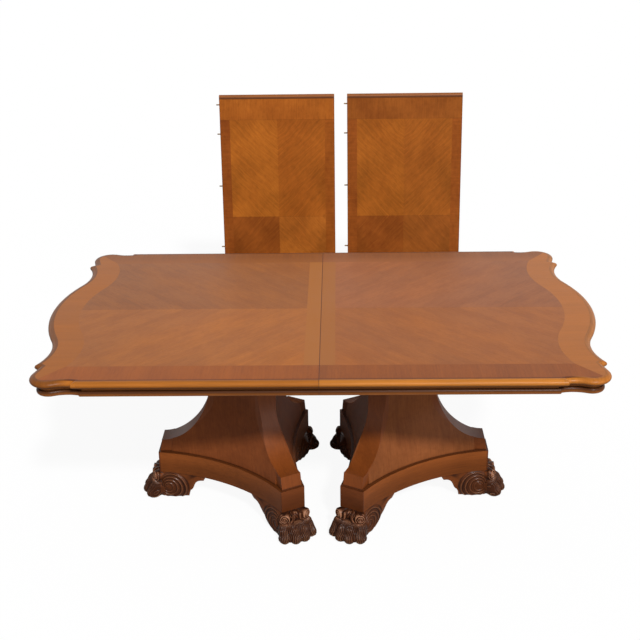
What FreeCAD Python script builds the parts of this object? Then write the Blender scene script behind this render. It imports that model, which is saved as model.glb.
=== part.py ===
import FreeCAD
import Part
import math
import os

# Double pedestal extension dining table with two loose leaves stood on end behind it.
# Millimetres. +X runs along the table, +Y from the front to the rear, +Z up.
# The origin is the floor point under the middle of the closed top.
# The left half is built first, and each of its pieces makes the right one by a half turn about Z.

# Overall sizes
TABLE_HEIGHT = 744.0
TABLE_DEPTH = 1168.0
BELLY_REACH = 956.0
LEAF_WIDTH = 542.0
SEAM_GAP = 0.2
CUT_OVERRUN = 5.0

# Top board, its veneers and its edge
TOP_THICKNESS = 24.0
VENEER_THICKNESS = 1.0
LIPPING_WIDTH = 20.0
BULLNOSE_DEPTH = 17.0
ROUND_SECTIONS = 9
END_BAND_WIDTH = 85.0
CROSSBAND_WIDTH = 101.0
SEAM_BAND_WIDTH = 50.0

# Cove and bead moulding under the edge
MOULDING_HEIGHT = 33.0
MOULDING_SETBACK = 18.0
MOULDING_WIDTH = 24.0
COVE_DEPTH = 9.0
BEAD_HEIGHT = 18.0
BEAD_DEPTH = 6.0

# Serpentine end, measured back from the belly and in from the long edges
STRAIGHT_BACK = 189.0
DIP_BACK = 171.0
DIP_DEPTH = 13.0
LOBE_BACK = 110.0
LOBE_SETBACK = 1.0
LOBE_RADIUS = 62.0
LOBE_END_ANGLE = -15.0
LOBE_TAIL = 46.0
CUSP_INSET = 141.0
WAIST_INSET = 249.0
WAIST_BACK = 70.0
BELLY_RADIUS = 600.0

# Seam pins of the top and of the leaves
PIN_RADIUS = 3.0
PIN_CLEARANCE = 0.35
PIN_REACH = 15.0
PIN_EMBED = 20.0
PIN_END_ROUND = 1.2
PIN_OUTER_INSET = 46.0
PIN_MIDDLE_Y = 400.0
PIN_INNER_Y = 150.0
PIN_HOLE_SPARE = 2.0

# Loose leaves where they stand
LEAF_STAND_Y = 1474.0
LEAF_LEAN = 5.5
LEAF_LEFT_X = -225.0
LEAF_RIGHT_X = 377.0
LEAF_END_BAND_WIDTH = 97.0
LEAF_SIDE_BAND_WIDTH = 46.0

# Extension slides
RAIL_LENGTH = 1350.0
RAIL_BACK = 700.0
RAIL_THICKNESS = 24.0
RAIL_HEIGHT = 54.0
RAIL_GAP = 0.6
RAIL_RELIEF = 1.0
TONGUE_DEPTH = 9.0
TONGUE_HEIGHT = 14.0
TONGUE_CLEARANCE = 0.5
SLIDE_Y = 235.0
RAIL_SCREWS = 4
SCREW_RADIUS = 2.5
SCREW_HEAD_RADIUS = 4.5
SCREW_HEAD_HEIGHT = 3.0
SCREW_BITE = 14.0
SCREW_WELL_DEPTH = 30.0
SCREW_WELL_RADIUS = 6.0
SCREW_CLEARANCE = 0.2
SCREW_END_MARGIN = 60.0

# Table locks under the seam
LOCK_Y = 413.0
LOCK_PIVOT_BACK = 40.0
LOCK_PLATE_LENGTH = 60.0
LOCK_PLATE_WIDTH = 30.0
LOCK_PLATE_THICKNESS = 3.0
LOCK_PIN_RADIUS = 4.0
LOCK_PIN_CLEARANCE = 0.08
LOCK_HEAD_RADIUS = 7.0
LOCK_HEAD_HEIGHT = 2.5
LOCK_LEVER_WIDTH = 18.0
LOCK_LEVER_THICKNESS = 4.0
LOCK_LEVER_PLAY = 0.3
LOCK_KEEPER_X = 25.0
LOCK_KEEPER_RADIUS = 4.0
LOCK_SLOT_CLEARANCE = 0.8
LOCK_TIP = 9.0

# Pedestal plan and heights
PEDESTAL_X = 265.0
INNER_ARM_ANGLE = 62.0
FOOT_HEIGHT = 104.0
PLINTH_HEIGHT = 83.0
PLINTH_REACH = 346.0
PLINTH_END_WIDTH = 90.0
PLINTH_FACE = 160.0
LEDGE = 10.0
END_LEDGE = 7.0
FIN_TOE_HEIGHT = 49.0
FIN_TOE_LEAN = 8.0
FLARE_REACH = 191.0
FLARE_HEIGHT = 260.0
FLARE_SECTIONS = 8
FIN_THICKNESS = 76.0
FACE_LEAN = 56.0
LEAN_HEIGHT = 217.0
LEAN_SECTIONS = 7
FACE_OVERRUN = 45.0
PANEL_THICKNESS = 14.0
POST_RADIUS = 58.0
POST_FLAT = 40.0
CAP_SIZE = 300.0
CAP_THICKNESS = 22.0
CAP_CORNER = 40.0
BLOCK_LENGTH = 340.0
BLOCK_WIDTH = 320.0
BLOCK_THICKNESS = 33.0

# Pedestal fasteners
ROD_RADIUS = 5.0
ROD_CLEARANCE = 0.5
NUT_FLATS = 17.0
NUT_HEIGHT = 8.0
NUT_CLEARANCE = 0.05
WASHER_RADIUS = 14.0
WASHER_THICKNESS = 2.0
NUT_WELL_RADIUS = 18.0
ROD_SPARE = 3.0
CAP_BOLT_RADIUS = 4.0
CAP_BOLT_FLATS = 13.0
CAP_BOLT_HEAD = 5.5
CAP_BOLT_BITE = 22.0
CAP_BOLT_INSET = 28.0
BOLT_CLEARANCE = 0.2

# Paw foot, measured out from the pedestal axis along its arm
GLIDE_THICKNESS = 3.0
GLIDE_RADIUS = 14.0
HEEL_REACH = 239.0
BRACKET_REACH = 170.0
TOE_REACH = 410.0
FOOT_EASE = 2.0
SOLE_WIDTH = 96.0
SOLE_FLARE_SHARE = 0.4
INSTEP_WIDTH = 94.0
INSTEP_FRONT_WIDTH = 124.0
TOE_PITCH = 36.0
TOE_LENGTH = 62.0
TOE_WIDTH = 40.0
TOE_HEIGHT = 50.0
TOE_LIFT = 23.0
OUTER_TOE_SETBACK = 19.0
KNUCKLE_BACK = 44.0
KNUCKLE_LENGTH = 56.0
KNUCKLE_WIDTH = 37.0
KNUCKLE_HEIGHT = 38.0
KNUCKLE_LIFT = 44.0
TOE_SPREAD_ANGLE = 12.0
CLAW_RADIUS = 7.0
CLAW_TIP_RADIUS = 4.0
CLAW_LENGTH = 22.0
CLAW_LIFT = 11.0
VOLUTE_REACH = 295.0
VOLUTE_LIFT = 50.0
VOLUTE_RADIUS = 50.0
VOLUTE_EYE_RADIUS = 9.0
VOLUTE_DISCS = 4
VOLUTE_DRIFT = 27.0
VOLUTE_DROP = 6.0
VOLUTE_PROUD = 3.5
VOLUTE_EYE_PROUD = 11.0
VOLUTE_BEVEL = 3.0
VOLUTE_TURN = 12.0
SCROLL_RADIUS = 19.0
SCROLL_EYE_RADIUS = 7.0
SCROLL_DISCS = 2
SCROLL_LENGTH = 30.0
SCROLL_PROUD = 3.0
SCROLL_EYE_PROUD = 7.0
SCROLL_BEVEL = 2.5
SCROLL_OVERHANG = 12.0
SCROLL_TURN = 34.0

# Bracket line behind the paw: shares of the way from bracket to heel, and of the foot's height
BRACKET_COVE_SHARES = ((0.13, 0.77), (0.26, 0.81))
BRACKET_CUSP_SHARES = (0.39, 0.775)
BRACKET_OGEE_SHARES = ((0.58, 0.66), (0.70, 0.47), (0.88, 0.28))
# Instep sections: shares of the way from plinth end to toe tip, of the width's growth, of the height
INSTEP_SHARES = ((-0.15, 0.0, 0.98), (0.1, 0.5, 0.84), (0.35, 0.9, 0.62), (0.6, 0.7, 0.36))
TOE_PLACES = (-1.5, -0.5, 0.5, 1.5)

# Heights and places worked out from the sizes above
TOP_UNDERSIDE = TABLE_HEIGHT - TOP_THICKNESS
CORE_TOP = TABLE_HEIGHT - VENEER_THICKNESS
CORE_MIDDLE = (TOP_UNDERSIDE + CORE_TOP) / 2
SEAM_X = SEAM_GAP / 2
HALF_DEPTH = TABLE_DEPTH / 2
BLOCK_UNDERSIDE = TOP_UNDERSIDE - BLOCK_THICKNESS
CAP_UNDERSIDE = BLOCK_UNDERSIDE - CAP_THICKNESS
PLINTH_TOP = FOOT_HEIGHT + PLINTH_HEIGHT
FIN_END_WIDTH = PLINTH_END_WIDTH - 2 * LEDGE
FIN_REACH = PLINTH_REACH - END_LEDGE
FACE_BASE = PLINTH_FACE - LEDGE
TOE_BREAK_Z = PLINTH_TOP + FIN_TOE_HEIGHT
TOE_BREAK_REACH = FIN_REACH - FIN_TOE_LEAN
NECK_REACH = TOE_BREAK_REACH - FLARE_REACH
NECK_Z = TOE_BREAK_Z + FLARE_HEIGHT
ARM_ANGLES = (180.0, -INNER_ARM_ANGLE, INNER_ARM_ANGLE)
ARM_NAMES = ("outer", "front", "rear")
TURNED_NAMES = {"paw_foot_front": "paw_foot_rear", "paw_foot_rear": "paw_foot_front"}
RAIL_PITCH = RAIL_THICKNESS + RAIL_GAP
PIN_REACHES = (PIN_INNER_Y, PIN_MIDDLE_Y, HALF_DEPTH - PIN_OUTER_INSET)
PIN_PLACES = tuple(sign * reach for reach in PIN_REACHES for sign in (-1, 1))
SLIDE_SETS = (-SLIDE_Y, SLIDE_Y)

ORIGIN = FreeCAD.Vector(0, 0, 0)
X_AXIS = FreeCAD.Vector(1, 0, 0)
Y_AXIS = FreeCAD.Vector(0, 1, 0)
Z_AXIS = FreeCAD.Vector(0, 0, 1)


def vec(x, y, z=0.0):
    return FreeCAD.Vector(x, y, z)


def line(start, end):
    return Part.LineSegment(start, end).toShape()


def arc(start, middle, end):
    return Part.Arc(start, middle, end).toShape()


def prism(wire, height):
    return Part.Face(wire).extrude(vec(0, 0, height))


def block(x0, x1, y0, y1, z0, z1):
    """Box between two corners."""
    return Part.makeBox(x1 - x0, y1 - y0, z1 - z0, vec(x0, y0, z0))


def upright(radius, x, y, z0, z1):
    """Cylinder that stands from z0 to z1."""
    return Part.makeCylinder(radius, z1 - z0, vec(x, y, z0), Z_AXIS)


def hex_prism(flats, x, y, z0, z1):
    """Hexagon nut or bolt head with the given width across its flats."""
    corner = flats / math.sqrt(3)
    angles = [math.radians(60 * step) for step in range(7)]
    points = [vec(x + corner * math.cos(a), y + corner * math.sin(a), z0) for a in angles]
    return prism(Part.makePolygon(points), z1 - z0)


def half_turn(shape):
    """The same piece on the other half of the table."""
    return shape.rotated(ORIGIN, Z_AXIS, 180)


def stretched(shape, x, y, z):
    """The shape with its own size along each axis multiplied."""
    stretch = FreeCAD.Matrix()
    stretch.scale(x, y, z)
    return shape.transformGeometry(stretch)


def group(shapes):
    return Part.makeCompound(shapes)


def one_solid(shape):
    """The single solid of a boolean result."""
    return shape.removeSplitter().Solids[0]


# Serpentine outline of the top


def toward(start, end):
    return (end - start).normalize()


def arc_middle(centre, radius, start, end):
    """Middle point of the shorter arc from start to end."""
    return centre + toward(centre * 2, start + end) * radius


WAIST_REACH = BELLY_REACH - WAIST_BACK
WAIST_Y = HALF_DEPTH - WAIST_INSET
STRAIGHT_REACH = BELLY_REACH - STRAIGHT_BACK
BELLY_CENTRE = vec(BELLY_REACH - BELLY_RADIUS, 0)
# The belly and the waist are tangent arcs, which sets the sum of their radii.
WAIST_RADIUS = (WAIST_BACK ** 2 + WAIST_Y ** 2) / (2 * WAIST_BACK) - BELLY_RADIUS
WAIST_CENTRE = vec(WAIST_REACH + WAIST_RADIUS, WAIST_Y)
LOBE_CENTRE = vec(BELLY_REACH - LOBE_BACK, HALF_DEPTH - LOBE_SETBACK - LOBE_RADIUS)
DIP_X = BELLY_REACH - DIP_BACK
DIP_RISE = HALF_DEPTH - DIP_DEPTH - LOBE_CENTRE.y
DIP_RUN = LOBE_CENTRE.x - DIP_X
# The dip is tangent to the corner lobe, which sets its radius.
DIP_RADIUS = (DIP_RUN ** 2 + DIP_RISE ** 2 - LOBE_RADIUS ** 2) / (2 * (LOBE_RADIUS - DIP_RISE))
DIP_CENTRE = vec(DIP_X, HALF_DEPTH - DIP_DEPTH + DIP_RADIUS)
LOBE_END = vec(math.cos(math.radians(LOBE_END_ANGLE)), math.sin(math.radians(LOBE_END_ANGLE)))
TAIL_WAY = vec(LOBE_END.y, -LOBE_END.x)


def waist_x(y, inset):
    """Reach of the waist arc at the given y."""
    return WAIST_CENTRE.x - math.sqrt((WAIST_RADIUS + inset) ** 2 - (y - WAIST_Y) ** 2)


def cusp_points(inset):
    """Foot and tip of the small cusp between the corner lobe and the waist."""
    cusp_y = HALF_DEPTH - CUSP_INSET
    tail_end = LOBE_CENTRE + LOBE_END * LOBE_RADIUS + TAIL_WAY * LOBE_TAIL
    way = toward(tail_end, vec(waist_x(cusp_y, 0), cusp_y))
    start = tail_end - vec(-way.y, way.x) * inset
    lobe_side = LOBE_CENTRE + LOBE_END * (LOBE_RADIUS - inset)
    span = lobe_side - start
    foot = start + way * (span.cross(TAIL_WAY).z / way.cross(TAIL_WAY).z)
    from_centre = foot - WAIST_CENTRE
    half_b = from_centre.dot(way)
    rest = half_b ** 2 - from_centre.dot(from_centre) + (WAIST_RADIUS + inset) ** 2
    return foot, foot + way * (-half_b - math.sqrt(rest))


def quarter_pieces(inset):
    """Edge of one quarter from the seam to the middle of the end, set in by inset.

    Each piece is its start, its middle (None on a straight one) and its end, with x and y positive.
    """
    front = HALF_DEPTH - inset
    step_x = STRAIGHT_REACH - inset
    dip_radius = DIP_RADIUS + inset
    lobe_radius = LOBE_RADIUS - inset
    seam = vec(SEAM_X, front)
    step_out = vec(step_x, front)
    step_in = vec(step_x, DIP_CENTRE.y - math.sqrt(dip_radius ** 2 - (DIP_X - step_x) ** 2))
    lobe_start = LOBE_CENTRE + toward(LOBE_CENTRE, DIP_CENTRE) * lobe_radius
    lobe_end = LOBE_CENTRE + LOBE_END * lobe_radius
    foot, tip = cusp_points(inset)
    turn = BELLY_CENTRE + toward(BELLY_CENTRE, WAIST_CENTRE) * (BELLY_RADIUS - inset)
    belly = vec(BELLY_REACH - inset, 0)
    lobe_way = toward(vec(0, 0), toward(LOBE_CENTRE, lobe_start) + LOBE_END)
    return [
        (seam, None, step_out),
        (step_out, None, step_in),
        (step_in, arc_middle(DIP_CENTRE, dip_radius, step_in, lobe_start), lobe_start),
        (lobe_start, LOBE_CENTRE + lobe_way * lobe_radius, lobe_end),
        (lobe_end, None, foot),
        (foot, None, tip),
        (tip, arc_middle(WAIST_CENTRE, WAIST_RADIUS + inset, tip, turn), turn),
        (turn, arc_middle(BELLY_CENTRE, BELLY_RADIUS - inset, turn, belly), belly),
    ]


def placed_edge(piece, x_sign, y_sign, z):
    """Edge of one outline piece, mirrored into its quarter and lifted to z."""
    points = [vec(x_sign * p.x, y_sign * p.y, z) for p in piece if p is not None]
    if len(points) == 2:
        return line(points[0], points[1])
    return arc(points[0], points[1], points[2])


def half_outline(inset, z):
    """Closed outline of the left half of the top, set in by inset."""
    pieces = quarter_pieces(inset)
    edges = [placed_edge(piece, -1, -1, z) for piece in pieces]
    edges += [placed_edge(piece[::-1], -1, 1, z) for piece in reversed(pieces)]
    front = HALF_DEPTH - inset
    edges.append(line(vec(-SEAM_X, front, z), vec(-SEAM_X, -front, z)))
    return Part.Wire(edges)


def half_prism(inset, z0, z1):
    return prism(half_outline(inset, z0), z1 - z0)


def round_profile(depth, height):
    """Inset and height along a half oval edge that bulges by depth over its height."""
    half = height / 2
    angles = [math.pi * (step / (ROUND_SECTIONS - 1) - 1 / 2) for step in range(ROUND_SECTIONS)]
    return [(depth * (1 - math.cos(a)), half + half * math.sin(a)) for a in angles]


def rounded_half(setback, depth, z0, height):
    """Left half outline as a slab whose whole edge is rounded."""
    sections = round_profile(depth, height)
    wires = [half_outline(setback + inset, z0 + rise) for inset, rise in sections]
    return Part.makeLoft(wires, True, False)


def three_lengths(ring, joint_x):
    """Splits the edging of the left half into its front, rear and serpentine end lengths."""
    low = -BELLY_REACH - CUT_OVERRUN
    side = HALF_DEPTH + CUT_OVERRUN
    top = TABLE_HEIGHT + CUT_OVERRUN
    boxes = [
        block(-joint_x, 0, -side, 0, 0, top),
        block(-joint_x, 0, 0, side, 0, top),
        block(low, -joint_x, -side, side, 0, top),
    ]
    return group([one_solid(ring.common(box)) for box in boxes])


def edge_lipping():
    """Bullnose lipping round the left half."""
    slab = rounded_half(0.0, BULLNOSE_DEPTH, TOP_UNDERSIDE, TOP_THICKNESS)
    inside = half_prism(LIPPING_WIDTH, TOP_UNDERSIDE - CUT_OVERRUN, TABLE_HEIGHT + CUT_OVERRUN)
    return three_lengths(slab.cut(inside), STRAIGHT_REACH - LIPPING_WIDTH)


def under_moulding():
    """Cove and bead moulding under the edge of the left half."""
    low = TOP_UNDERSIDE - MOULDING_HEIGHT
    bead = rounded_half(MOULDING_SETBACK, BEAD_DEPTH, low, BEAD_HEIGHT)
    neck = half_prism(MOULDING_SETBACK + COVE_DEPTH, low + BEAD_HEIGHT / 2, TOP_UNDERSIDE)
    back = MOULDING_SETBACK + MOULDING_WIDTH
    inside = half_prism(back, low - CUT_OVERRUN, TOP_UNDERSIDE + CUT_OVERRUN)
    return three_lengths(bead.fuse(neck).cut(inside), STRAIGHT_REACH - back)


# Top boards and veneers


def side_pin(x, y, z):
    """Seam pin that stands out towards -X from a face at x, with eased ends."""
    pin = Part.makeCylinder(PIN_RADIUS, PIN_REACH + PIN_EMBED, vec(x - PIN_REACH, y, z), X_AXIS)
    rims = [edge for edge in pin.Edges if edge.Curve.TypeId == "Part::GeomCircle"]
    return pin.makeChamfer(PIN_END_ROUND, rims)


def pin_seat(x, y, z):
    """Hole that the fixed end of a seam pin is glued into."""
    return Part.makeCylinder(PIN_RADIUS, PIN_EMBED, vec(x, y, z), X_AXIS)


def pin_hole(x, y, z):
    """Clearance hole in a face at x that takes the free end of a seam pin."""
    depth = PIN_REACH + PIN_HOLE_SPARE
    return Part.makeCylinder(PIN_RADIUS + PIN_CLEARANCE, depth, vec(x - depth, y, z), X_AXIS)


def bare_core():
    """Board of the left half with the pilot holes of its rail screws."""
    core = half_prism(LIPPING_WIDTH, TOP_UNDERSIDE, CORE_TOP)
    pilots = [
        upright(SCREW_RADIUS + SCREW_CLEARANCE, x, y, TOP_UNDERSIDE, TOP_UNDERSIDE + SCREW_BITE)
        for x, y in rail_screw_places()
    ]
    return core.cut(group(pilots))


def top_cores():
    """Left board with pin holes in its seam edge and right board with pin seats."""
    left = bare_core()
    right = half_turn(left)
    holes = [pin_hole(-SEAM_X, y, CORE_MIDDLE) for y in PIN_PLACES]
    seats = [pin_seat(SEAM_X, y, CORE_MIDDLE) for y in PIN_PLACES]
    return one_solid(left.cut(group(holes))), one_solid(right.cut(group(seats)))


def veneer_regions():
    """Field, crossband and end band veneers of the left half."""
    sheet = half_prism(LIPPING_WIDTH, CORE_TOP, TABLE_HEIGHT)
    band_inset = LIPPING_WIDTH + END_BAND_WIDTH
    band_y = HALF_DEPTH - LIPPING_WIDTH - CROSSBAND_WIDTH
    inner = vec(waist_x(band_y, band_inset), band_y)
    turn = BELLY_CENTRE + toward(BELLY_CENTRE, WAIST_CENTRE) * (BELLY_RADIUS - band_inset)
    belly = vec(BELLY_REACH - band_inset, 0)
    waist = (inner, arc_middle(WAIST_CENTRE, WAIST_RADIUS + band_inset, inner, turn), turn)
    bulge = (turn, arc_middle(BELLY_CENTRE, BELLY_RADIUS - band_inset, turn, belly), belly)
    lobe_way = toward(inner, LOBE_CENTRE + vec(1, 1).normalize() * (LOBE_RADIUS - LIPPING_WIDTH))
    outside = inner + lobe_way * (LIPPING_WIDTH + END_BAND_WIDTH + CROSSBAND_WIDTH)
    z = CORE_TOP
    edges = [line(vec(0, -band_y, z), vec(-inner.x, -band_y, z))]
    edges += [placed_edge(piece, -1, -1, z) for piece in (waist, bulge)]
    edges += [placed_edge(piece[::-1], -1, 1, z) for piece in (bulge, waist)]
    edges.append(line(vec(-inner.x, band_y, z), vec(0, band_y, z)))
    edges.append(line(vec(0, band_y, z), vec(0, -band_y, z)))
    middle = sheet.common(prism(Part.Wire(edges), VENEER_THICKNESS))
    crossbands = []
    for y_sign in (-1, 1):
        corners = [
            vec(0, y_sign * band_y, z),
            vec(-inner.x, y_sign * band_y, z),
            vec(-outside.x, y_sign * outside.y, z),
            vec(0, y_sign * outside.y, z),
        ]
        strip = prism(Part.makePolygon(corners + corners[:1]), VENEER_THICKNESS)
        crossbands.append(one_solid(sheet.common(strip)))
    end_band = one_solid(sheet.cut(group([middle] + crossbands)))
    seam_strip = block(-SEAM_X - SEAM_BAND_WIDTH, 0, -band_y, band_y, z, TABLE_HEIGHT)
    crossbands.append(one_solid(middle.common(seam_strip)))
    field = middle.cut(seam_strip)
    front = block(-BELLY_REACH, 0, -HALF_DEPTH, 0, z, TABLE_HEIGHT)
    fields = group([one_solid(field.common(front)), one_solid(field.cut(front))])
    return fields, group(crossbands), end_band


# Extension slides


def left_rail_y(set_y):
    """Middle of the left rail's lane, on the front side of its slide set's middle rail."""
    return set_y - RAIL_PITCH


def rail_screw_places():
    """Places of the left rail screws, in the web behind the groove."""
    pitch = (RAIL_BACK - 2 * SCREW_END_MARGIN) / (RAIL_SCREWS - 1)
    web = (RAIL_THICKNESS - TONGUE_DEPTH - TONGUE_CLEARANCE) / 2
    places = []
    for set_y in SLIDE_SETS:
        y = left_rail_y(set_y) - RAIL_THICKNESS / 2 + web
        places += [(-SCREW_END_MARGIN - pitch * step, y) for step in range(RAIL_SCREWS)]
    return places


def left_rail(set_y):
    """Rail fixed under the left half, grooved on its rear face and relieved past the seam."""
    y = left_rail_y(set_y)
    half = RAIL_THICKNESS / 2
    low = TOP_UNDERSIDE - RAIL_HEIGHT
    end = RAIL_LENGTH - RAIL_BACK
    rail = block(-RAIL_BACK, end, y - half, y + half, low, TOP_UNDERSIDE)
    relief_low = TOP_UNDERSIDE - RAIL_RELIEF
    relief = block(-SCREW_END_MARGIN / 2, end, y - half, y + half, relief_low, TOP_UNDERSIDE)
    middle = low + RAIL_HEIGHT / 2
    groove_half = TONGUE_HEIGHT / 2 + TONGUE_CLEARANCE
    floor = y + half - TONGUE_DEPTH - TONGUE_CLEARANCE
    groove = block(-RAIL_BACK, end, floor, y + half, middle - groove_half, middle + groove_half)
    rail = rail.cut(group([relief, groove]))
    for x, screw_y in rail_screw_places():
        if abs(screw_y - y) < half:
            rail = rail.cut(upright(SCREW_RADIUS + SCREW_CLEARANCE, x, screw_y, low, TOP_UNDERSIDE))
            rail = rail.cut(upright(SCREW_WELL_RADIUS, x, screw_y, low, low + SCREW_WELL_DEPTH))
    return one_solid(rail)


def rail_screws():
    """Round head screws of the two left rails."""
    seat = TOP_UNDERSIDE - RAIL_HEIGHT + SCREW_WELL_DEPTH
    screws = []
    for x, y in rail_screw_places():
        head_place = vec(x, y, seat - SCREW_HEAD_HEIGHT)
        head = Part.makeCone(SCREW_RADIUS, SCREW_HEAD_RADIUS, SCREW_HEAD_HEIGHT, head_place)
        shank = upright(SCREW_RADIUS, x, y, seat, TOP_UNDERSIDE + SCREW_BITE)
        screws.append(one_solid(head.fuse(shank)))
    return group(screws)


def middle_rail(y):
    """Loose rail between the two fixed ones, with a tongue on each face."""
    low = TOP_UNDERSIDE - RAIL_HEIGHT
    half = RAIL_THICKNESS / 2
    reach = RAIL_LENGTH / 2
    middle = low + RAIL_HEIGHT / 2
    rail = block(-reach, reach, y - half, y + half, low, TOP_UNDERSIDE - RAIL_RELIEF)
    wide = half + RAIL_GAP + TONGUE_DEPTH
    tongue_half = TONGUE_HEIGHT / 2
    tongue = block(-reach, reach, y - wide, y + wide, middle - tongue_half, middle + tongue_half)
    return one_solid(rail.fuse(tongue))


# Table locks


def lock_base(y_sign):
    """Plate under the left half with a headed pivot pin."""
    y = y_sign * LOCK_Y
    x = -LOCK_PIVOT_BACK
    half = LOCK_PLATE_WIDTH / 2
    low = TOP_UNDERSIDE - LOCK_PLATE_THICKNESS
    pin_end = low - LOCK_LEVER_THICKNESS - 2 * LOCK_LEVER_PLAY
    plate = block(x - half, x - half + LOCK_PLATE_LENGTH, y - half, y + half, low, TOP_UNDERSIDE)
    pin = upright(LOCK_PIN_RADIUS, x, y, pin_end, low)
    head = upright(LOCK_HEAD_RADIUS, x, y, pin_end - LOCK_HEAD_HEIGHT, pin_end)
    seam = block(-SEAM_X, LOCK_PLATE_LENGTH, y - half, y + half, low, TOP_UNDERSIDE)
    return one_solid(plate.cut(seam).fuse(pin).fuse(head))


def lock_lever(y_sign):
    """Hooked lever, shown swung open towards the middle of the table."""
    reach = LOCK_PIVOT_BACK + LOCK_KEEPER_X
    half = LOCK_LEVER_WIDTH / 2
    high = TOP_UNDERSIDE - LOCK_PLATE_THICKNESS - LOCK_LEVER_PLAY
    low = high - LOCK_LEVER_THICKNESS
    bar = block(0, reach + LOCK_TIP, -half, half, low, high)
    boss = upright(half, 0, 0, low, high)
    slot_half = LOCK_KEEPER_RADIUS + LOCK_SLOT_CLEARANCE
    slot_end = upright(slot_half, reach, 0, low, high)
    slot = block(reach - slot_half, reach + slot_half, -half, 0, low, high)
    bore = upright(LOCK_PIN_RADIUS + LOCK_PIN_CLEARANCE, 0, 0, low, high)
    lever = bar.fuse(boss).cut(group([slot_end, slot, bore]))
    if y_sign > 0:
        lever = lever.mirror(ORIGIN, Y_AXIS)
    lever = lever.rotated(ORIGIN, Z_AXIS, -90 * y_sign)
    return one_solid(lever.translated(vec(-LOCK_PIVOT_BACK, y_sign * LOCK_Y, 0)))


def lock_keeper(y_sign):
    """Plate under the right half with the pin that the lever hooks."""
    y = y_sign * LOCK_Y
    half = LOCK_PLATE_WIDTH / 2
    low = TOP_UNDERSIDE - LOCK_PLATE_THICKNESS
    plate = block(LOCK_KEEPER_X - half, LOCK_KEEPER_X + half, y - half, y + half, low, TOP_UNDERSIDE)
    pin_end = low - LOCK_LEVER_THICKNESS - 2 * LOCK_LEVER_PLAY
    pin = upright(LOCK_KEEPER_RADIUS, LOCK_KEEPER_X, y, pin_end, low)
    return one_solid(plate.fuse(pin))


# Three-sided pedestal, built about its own axis with its first arm towards -X


def arm_way(index):
    angle = math.radians(ARM_ANGLES[index % len(ARM_ANGLES)])
    return vec(math.cos(angle), math.sin(angle))


def left_of(way):
    return vec(-way.y, way.x)


def face_way(index):
    """Direction of the concave face between an arm and the next one."""
    both = arm_way(index) + arm_way(index + 1)
    return both.normalize()


def tri_outline(reach, end_width, face, z):
    """Plan of the pedestal: three canted ends joined by three concave arcs."""
    half = end_width / 2
    edges = []
    lift = vec(0, 0, z)
    for index in range(len(ARM_ANGLES)):
        way = arm_way(index)
        after = arm_way(index + 1)
        right_corner = way * reach - left_of(way) * half + lift
        left_corner = way * reach + left_of(way) * half + lift
        next_corner = after * reach - left_of(after) * half + lift
        edges.append(line(right_corner, left_corner))
        edges.append(arc(left_corner, face_way(index) * face + lift, next_corner))
    return Part.Wire(edges)


def plinth():
    """Plinth block with wells for the tie rod's nut."""
    body = prism(tri_outline(PLINTH_REACH, PLINTH_END_WIDTH, PLINTH_FACE, FOOT_HEIGHT), PLINTH_HEIGHT)
    well = upright(NUT_WELL_RADIUS, 0, 0, FOOT_HEIGHT, FOOT_HEIGHT + rod_well_depth())
    bore = upright(ROD_RADIUS + ROD_CLEARANCE, 0, 0, FOOT_HEIGHT, PLINTH_TOP)
    return one_solid(body.cut(group([well, bore])))


def fin_edge():
    """Outer edge of a fin in its own plane: an upright toe, a quarter ellipse and a straight neck."""
    points = []
    for step in range(FLARE_SECTIONS):
        angle = math.pi / 2 * step / (FLARE_SECTIONS - 1)
        reach = TOE_BREAK_REACH - FLARE_REACH * math.sin(angle)
        points.append(vec(reach, 0, NECK_Z - FLARE_HEIGHT * math.cos(angle)))
    flare = Part.BSplineCurve()
    flare.interpolate(points)
    foot = vec(FIN_REACH, 0, PLINTH_TOP)
    head = vec(NECK_REACH, 0, CAP_UNDERSIDE)
    return foot, head, [line(foot, points[0]), flare.toShape(), line(points[-1], head)]


def fin_slab(index, inner_x, half_width):
    """Upright slab along an arm between the fin's outer edge and inner_x, on either side of it."""
    foot, head, edges = fin_edge()
    low = vec(inner_x, 0, PLINTH_TOP)
    high = vec(inner_x, 0, CAP_UNDERSIDE)
    edges += [line(head, high), line(high, low), line(low, foot)]
    slab = Part.Face(Part.Wire(edges)).extrude(vec(0, 2 * half_width, 0))
    return slab.translated(vec(0, -half_width, 0)).rotated(ORIGIN, Z_AXIS, ARM_ANGLES[index])


def face_arc(index, inward):
    """Start, middle and end of a concave face at the ledge, run past its corners and moved inward."""
    half = FIN_END_WIDTH / 2
    way = arm_way(index)
    after = arm_way(index + 1)
    start = way * FIN_REACH + left_of(way) * half
    end = after * FIN_REACH - left_of(after) * half
    middle = face_way(index) * FACE_BASE
    centre = arc(start, middle, end).Curve.Center
    radius = (middle - centre).Length + inward
    overrun = math.degrees(FACE_OVERRUN / radius)
    points = []
    for corner, turn in ((start, -overrun), (end, overrun)):
        spoke = toward(centre, corner)
        points.append(centre + FreeCAD.Rotation(Z_AXIS, turn).multVec(spoke) * radius)
    return points[0], middle - face_way(index) * inward, points[1]


def face_shift(index, z):
    """Shift of a face at height z: a smooth step in towards the axis, and up to z."""
    share = min((z - PLINTH_TOP) / LEAN_HEIGHT, 1.0)
    lean = FACE_LEAN * share ** 2 * (3 - 2 * share)
    return face_way(index) * -lean + vec(0, 0, z)


def leaning(index, section):
    """Solid whose plan section leans in with a face from the ledge and runs straight up at the neck."""
    levels = [PLINTH_TOP + LEAN_HEIGHT * step / (LEAN_SECTIONS - 1) for step in range(LEAN_SECTIONS)]
    lean = Part.makeLoft([section(face_shift(index, z)) for z in levels], True, False)
    neck = prism(section(face_shift(index, levels[-1])), CAP_UNDERSIDE - levels[-1])
    return lean.fuse(neck)


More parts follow.
